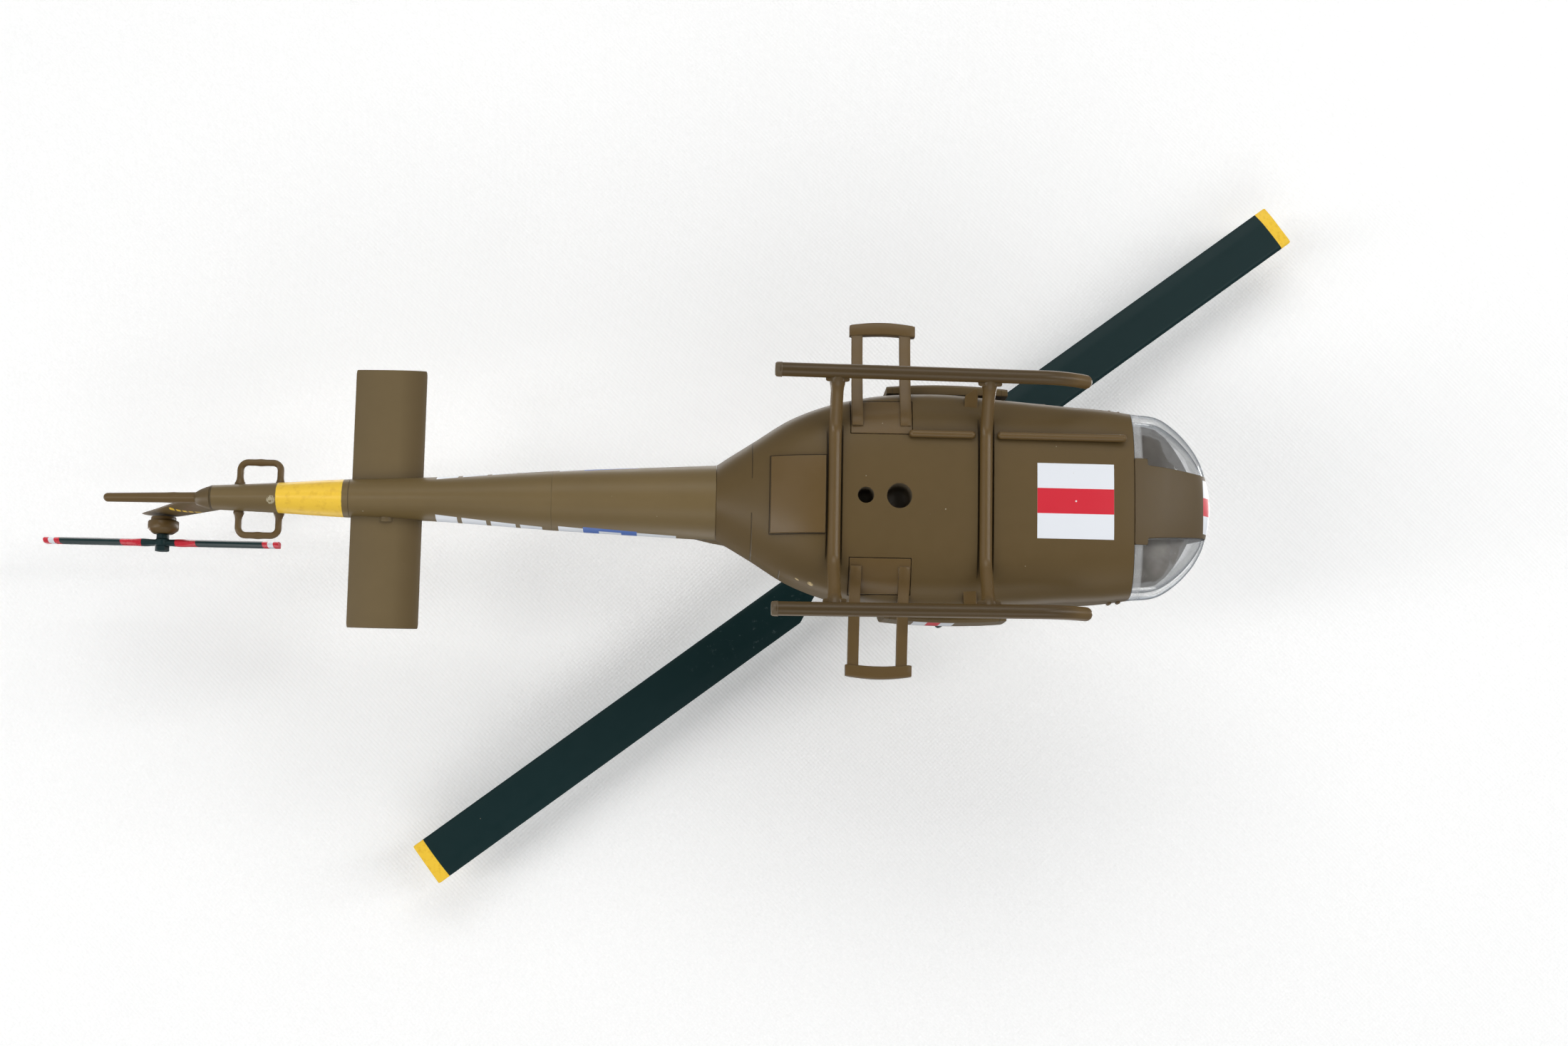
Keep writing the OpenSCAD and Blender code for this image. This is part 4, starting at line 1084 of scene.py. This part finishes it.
bush = lathe("m", [(1.06, 29.6), (2.2, 29.6), (2.2, 33.8), (2.3, 34.0), (2.8, 34.15), (2.9, 34.3), (2.9, 35.05), (2.75, 35.2), (1.2, 35.2), (1.06, 35.1)], (MAST_X, 0, 0), (0, 0, 1), 72, 40, closed=False)
finish(bush, "mast_bush_turned", M_PAINT, A, ["mast_bush"])
gb = [(0.86, 0.86), (1.95, 0.86), (2.0, 1.1), (2.0, 1.4), (2.32, 1.5), (2.45, 1.66), (2.45, 2.8), (2.34, 3.02), (1.85, 3.42), (1.6, 3.58), (0.86, 3.6)]
finish(lathe("g", gb, (TAIL_X, 0, TAIL_Z), (0, 1, 0), 64, 40, closed=False), "tail_gearbox_housing", M_PAINT, A, ["tail_gearbox"])

# door rails, handles


def rails():
    o = [meet(hull_part(-0.42, -17, 18, 0.6, 160), cube(*b)) for b in ((-16, 16, 4, 18, 22.95, 23.6),)]
    o = [minus(p, hull_part(0.3, -18, 19, 0.8, 96)) for p in o]
    o = join("r", *o)
    shade(o)
    return o


r1, r2 = both(rails)
shade(r2)
finish(r1, "door_rail_strips_left", M_PAINT, A, ["door_rails_left"])
finish(r2, "door_rail_strips_right", M_PAINT, A, ["door_rails_right"])
yh = half_at(at(HULL, 21.4), 9.6)
hs = []
for s in (1, -1):
    hs.append(sweep("h", *capsule((21.4, s * (yh - 0.2), 9.6), (21.4, s * (yh + 0.55), 9.6), 0.5), 20))
    hs.append(sweep("h", *capsule((21.1, s * (yh + 0.5), 9.6), (23.3, s * (yh + 0.5), 9.6), 0.32), 20, flat=0.7))
    for x in (32.5, 33.9):
        yy = half_at(at(HULL, x), 7.5)
        hs.append(sweep("h", *capsule((x, s * (yy + 0.06), 6.6), (x, s * (yy + 0.06), 8.4), 0.34), 16))
o = join("h", *hs)
shade(o, 50)
finish(o, "cockpit_door_handle_levers", M_PAINT, A, ["cockpit_door_handles"])

# ------------------------------------------------------------------ cargo doors
SEC = at(HULL, 6.6)


def door(s):
    zs = np.linspace(6.4, 22.6, 41)
    R = []
    for x in np.linspace(-1.6, 16.9, 56):
        u = (x - 7.65) / 9.25
        out = 1.75 - 0.45 * u * u
        sec = [(x, s * (half_at(SEC, z, -0.2)), z) for z in zs]
        rim = lambda z: 0.35 * max(0.0, 1 - min(z - 6.4, 22.6 - z) / 0.5) ** 2
        sec += [(x, s * (half_at(SEC, z, -(out - rim(z)))), z) for z in zs[::-1]]
        R.append(sec)
    return loft("d", R, True, 35)


for s, side in ((1, "left"), (-1, "right")):
    d = minus(door(s), side_prism(round_poly(LIGHT, 1.2), s, 10, 24))
    finish(d, f"cargo_door_plate_{side}", M_DOOR, f"{side}_cargo_door", [f"cargo_door_{side}"])
    zs = np.linspace(12.9, 21.3, 24)
    w = loft("w", [[(x, s * half_at(SEC, z, -0.42), z) for z in zs] + [(x, s * half_at(SEC, z, -1.12), z) for z in zs[::-1]] for x in np.linspace(2.0, 13.6, 16)])
    w = meet(w, side_prism(round_poly(shrink(LIGHT, 0.05), 1.15), s, 10, 24))
    finish(w, f"cargo_door_pane_{side}", M_WINDOW, f"{side}_cargo_door", [f"cargo_door_window_{side}"])

# ------------------------------------------------------------------ main rotor


def blade(direction):
    """Wing section with a tapered root and a square tip, round nose forward in the sense of rotation."""
    n = 22
    u = (1 - np.cos(np.pi * np.arange(n + 1) / n)) / 2
    form = np.minimum(1, 3.2 * np.sqrt(u) * (1 - u) + 0.24)
    form[0], form[-1] = 0.16, 0.16
    rs = list(np.linspace(7.2, 9.5, 6)) + list(np.linspace(10, 17, 15)) + list(np.linspace(17.8, 90.1, 60)) + [90.28, 90.4]
    R = []
    for r in rs:
        lead = 7.45 * 0.25
        trail = 1.9 + (7.45 * 0.75 - 1.9) * min(1, max(0, r - 9.5) / 7.5)
        if r > 90.1:
            lead -= (r - 90.1) * 0.35
            trail -= (r - 90.1) * 0.35
        th = 0.5 - (0.10 if r > 90.3 else 0)
        y = lead - (lead + trail) * u
        R.append(np.concatenate([np.stack([np.full(n + 1, r), y, BLADE_Z + th * form], 1), np.stack([np.full(n + 1, r), y[::-1], BLADE_Z - th * form[::-1]], 1)]))
    o = loft("b", R, True, 38)
    o.data.transform(Matrix.Translation(Vector((MAST_X, 0, 0)) * K) @ Matrix.Rotation(REST + direction, 4, "Z"))
    return o


finish(blade(0), "main_blade_wing_forward", M_BLADE, "main_rotor", ["main_blade_forward"])
finish(blade(math.pi), "main_blade_wing_aft", M_BLADE, "main_rotor", ["main_blade_aft"])


def on_mast(o, deg=0.0):
    o.data.transform(Matrix.Translation(Vector((MAST_X, 0, 0)) * K) @ Matrix.Rotation(REST + math.radians(deg), 4, "Z"))
    return o


zb = BLADE_Z - 0.5 - 1.12
yk = [prism("y", round_poly([(-12.5, -1.8), (12.5, -1.8), (12.5, 1.8), (-12.5, 1.8)], 0.9), zb, zb + 1.1, "z"),
      lathe("y", [(1.02, BLADE_Z - 2.4), (2.1, BLADE_Z - 2.4), (2.3, BLADE_Z - 2.2), (2.3, BLADE_Z + 1.0), (2.1, BLADE_Z + 1.2), (1.02, BLADE_Z + 1.2)], (0, 0, 0), (0, 0, 1), 64, 40, closed=False),
      prism("y", round_poly([(-2.6, -3.4), (2.6, -3.4), (2.6, 3.4), (-2.6, 3.4)], 0.7), BLADE_Z - 1.4, BLADE_Z + 0.1, "z")]
for p in (yk[0], yk[2]):
    soften(p, 0.15, 2, 50)
o = join("y", *[bake(p) for p in yk])
shade(o, 38)
finish(on_mast(o), "rotor_yoke_forging", M_TEAL, "main_rotor", ["rotor_yoke"])
bar = [lathe("s", [(1.02, -0.65), (1.9, -0.65), (2.0, -0.5), (2.0, 0.5), (1.9, 0.65), (1.02, 0.65)], (0, 0, BLADE_Z + 2.4), (0, 0, 1), 56, 40, closed=False)]
for s in (1, -1):
    bar.append(sweep("s", *capsule((s * 1.5, 0, BLADE_Z + 2.4), (s * 18.0, 0, BLADE_Z + 2.4), 0.45), 24))
    bar.append(lathe("s", [(0.46, 0), (0.9, 0.05), (1.05, 0.3), (1.05, 2.4), (0.95, 2.7), (0.5, 2.95), (0.02, 2.98)], (s * 17.1, 0, BLADE_Z + 2.4), (s, 0, 0), 40, 40))
o = join("s", *bar)
shade(o, 40)
finish(on_mast(o, 83.0), "stabilizer_bar_rods", M_TEAL, "main_rotor", ["stabilizer_bar"])

# ------------------------------------------------------------------ tail rotor
tb = []
n = 16
u = (1 - np.cos(np.pi * np.arange(n + 1) / n)) / 2
form = np.minimum(1, 3.0 * np.sqrt(u) * (1 - u) + 0.28)
form[0], form[-1] = 0.2, 0.2
for s in (1, -1):
    R = []
    for r in list(np.linspace(0.5, 3.4, 8)) + list(np.linspace(3.7, 5.2, 8)) + list(np.linspace(5.8, 18.5, 26)) + [18.7, 18.8]:
        half = 0.9 if r < 3.4 else 0.9 + 0.65 * min(1, (r - 3.4) / 1.8)
        if r > 18.5:
            half -= (r - 18.5) * 0.8
        th = 0.46 + 0.12 * math.exp(-((r - 3.0) / 1.2) ** 2)
        z = half - 2 * half * u
        x = np.full(n + 1, s * r)
        R.append(np.concatenate([np.stack([x, TAIL_Y + th * form, z], 1), np.stack([x, TAIL_Y - th * form[::-1], z[::-1]], 1)]))
    tb.append(loft("t", R, True, 38))
tb.append(lathe("t", [(0.82, TAIL_Y - 0.58), (1.05, TAIL_Y - 0.57), (1.2, TAIL_Y - 0.42), (1.2, TAIL_Y + 0.42), (1.05, TAIL_Y + 0.57), (0.82, TAIL_Y + 0.58)], (0, 0, 0), (0, 1, 0), 48, 40, closed=False))
o = join("t", *tb)
shade(o, 38)
o.data.transform(Matrix.Translation(Vector((TAIL_X, 0, TAIL_Z)) * K))
finish(o, "tail_rotor_blade_pair", M_TAIL, "tail_rotor", ["tail_rotor_blades"])

# ------------------------------------------------------------------ CAD nodes that stay, with a better material
KEEP = {"cabin_floor": M_FLOOR, "rear_bulkhead": M_FLOOR, "instrument_panel": M_PANEL, "pilot_seat_left": M_SEAT, "pilot_seat_right": M_SEAT,
        "bench_seat": M_SEAT, "rotor_mast": M_TEAL, "mast_retainer": M_TEAL, "blade_bolts": M_TEAL, "mast_nut": M_TEAL,
        "tail_rotor_shaft": M_TEAL, "tail_rotor_nut": M_TEAL}
for node, mat in KEEP.items():
    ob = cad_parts[node]
    ob.data.materials.clear()
    ob.data.materials.append(mat)
left = [n for n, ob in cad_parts.items() if not ob.hide_render and n not in KEEP]
assert not left, left


# ------------------------------------------------------------------ stage: camera, two sheets, light
cam = bpy.data.objects.new("camera", bpy.data.cameras.new("camera"))
bpy.context.scene.collection.objects.link(cam)
cam.data.sensor_width = 36.0
cam.data.lens = 54.99
cam.data.clip_start, cam.data.clip_end = 0.01, 50.0
ROT = ((0.99913916, -0.0173348, -0.03768869), (0.02232952, 0.99039773, 0.13643214), (0.03496177, -0.13715627, 0.98993224))
cam.matrix_world = Matrix([[ROT[0][i], -ROT[1][i], -ROT[2][i], p * K] for i, p in enumerate((-29.551, 53.212, -351.508))] + [[0, 0, 0, 1]])
bpy.context.scene.camera = cam
bpy.context.scene.view_settings.view_transform = "Standard"

PALE = (0.935, 0.94, 0.945)


def sheet(name, z, up, threshold):
    """A pale cloth sheet that only a camera looking towards its own side can see, and that takes shadows.
    up is 1 for the floor under the skids, seen from above, and -1 for the sheet above the rotor, seen from below."""
    o = mesh(name, [(-3000, -3000, z), (3000, -3000, z), (3000, 3000, z), (-3000, 3000, z)], [(0, 1, 2, 3)])
    m = Mat(name)
    m.paint((1.15, 1.155, 1.16), 1)
    m.shade(0.985 + m.noise(0.02, 3) * 0.03)
    weave = op(m.t, "SINE", m.x * 7.85) * op(m.t, "SINE", m.y * 7.85)
    h = weave * 0.5 + m.noise(0.9, 4) * 0.6 + m.noise(0.06, 2) * 2.0
    d = m.node("ShaderNodeBsdfDiffuse")
    m.t.links.new(m.color, d.inputs[0])
    m.t.links.new(m.bump(h, None, 0.6, 0.12), d.inputs["Normal"])
    e = m.node("ShaderNodeEmission")
    e.inputs[0].default_value = PALE + (1.0,)
    far = ((m.x + 20).sq() + m.y.sq()).sqrt().over(420, 420)
    mix = m.node("ShaderNodeMixShader")
    m.t.links.new(far.s, mix.inputs[0])
    m.t.links.new(d.outputs[0], mix.inputs[1])
    m.t.links.new(e.outputs[0], mix.inputs[2])
    inc = m.node("ShaderNodeSeparateXYZ")
    m.t.links.new(m.geo.outputs["Incoming"], inc.inputs[0])
    lp = m.node("ShaderNodeLightPath")
    seen = S(m.t, lp.outputs["Is Camera Ray"]) * (S(m.t, inc.outputs[2]) * float(up)).over(threshold, 0.02)
    clear = m.node("ShaderNodeBsdfTransparent")
    mix2 = m.node("ShaderNodeMixShader")
    m.t.links.new(seen.s, mix2.inputs[0])
    m.t.links.new(clear.outputs[0], mix2.inputs[1])
    m.t.links.new(mix.outputs[0], mix2.inputs[2])
    out = m.node("ShaderNodeOutputMaterial")
    m.t.links.new(mix2.outputs[0], out.inputs[0])
    o.data.materials.append(m.m)
    return o


sheet("floor_sheet", -5.83, 1, 0.01)
sheet("backdrop_sheet", 57.5, -1, 0.45)

world = bpy.data.worlds.new("studio")
bpy.context.scene.world = world
world.use_nodes = True
wt = world.node_tree
wt.nodes.clear()
lp = wt.nodes.new("ShaderNodeLightPath")
seen, soft = wt.nodes.new("ShaderNodeBackground"), wt.nodes.new("ShaderNodeBackground")
seen.inputs[0].default_value = PALE + (1.0,)
seen.inputs[1].default_value = 1.0
soft.inputs[0].default_value = (0.97, 0.985, 1.0, 1.0)
tc = wt.nodes.new("ShaderNodeTexCoord")
sz = wt.nodes.new("ShaderNodeSeparateXYZ")
wt.links.new(tc.outputs["Generated"], sz.inputs[0])
wt.links.new((0.46 - S(wt, sz.outputs[2]).sq() * 0.34).s, soft.inputs[1])
mx = wt.nodes.new("ShaderNodeMixShader")
wt.links.new(lp.outputs["Is Camera Ray"], mx.inputs[0])
wt.links.new(soft.outputs[0], mx.inputs[1])
wt.links.new(seen.outputs[0], mx.inputs[2])
wo = wt.nodes.new("ShaderNodeOutputWorld")
wt.links.new(mx.outputs[0], wo.inputs[0])


def softbox(name, place, size, watts, colour=(1.0, 0.99, 0.97), target=(-0.03, 0, 0.02)):
    L = bpy.data.lights.new(name, "AREA")
    L.shape, L.size, L.size_y, L.energy, L.color = "RECTANGLE", size[0], size[1], watts, colour
    o = bpy.data.objects.new(name, L)
    bpy.context.scene.collection.objects.link(o)
    o.location = place
    d = Vector(target) - Vector(place)
    o.rotation_euler = d.to_track_quat("-Z", "Y").to_euler()
    o.visible_camera = False
    return o


for s, tag in ((-1, "low"), (1, "high")):
    softbox("strip_nose_" + tag, (0.42, -0.10, s * 0.42), (0.08, 0.62), 1.15)
    softbox("strip_tail_" + tag, (-0.50, 0.10, s * 0.40), (0.08, 0.62), 1.15)
    softbox("key_" + tag, (-0.05, -0.42, s * 0.48), (0.60, 0.30), 1.15)
    softbox("fill_" + tag, (0.02, 0.46, s * 0.42), (0.60, 0.30), 0.85)
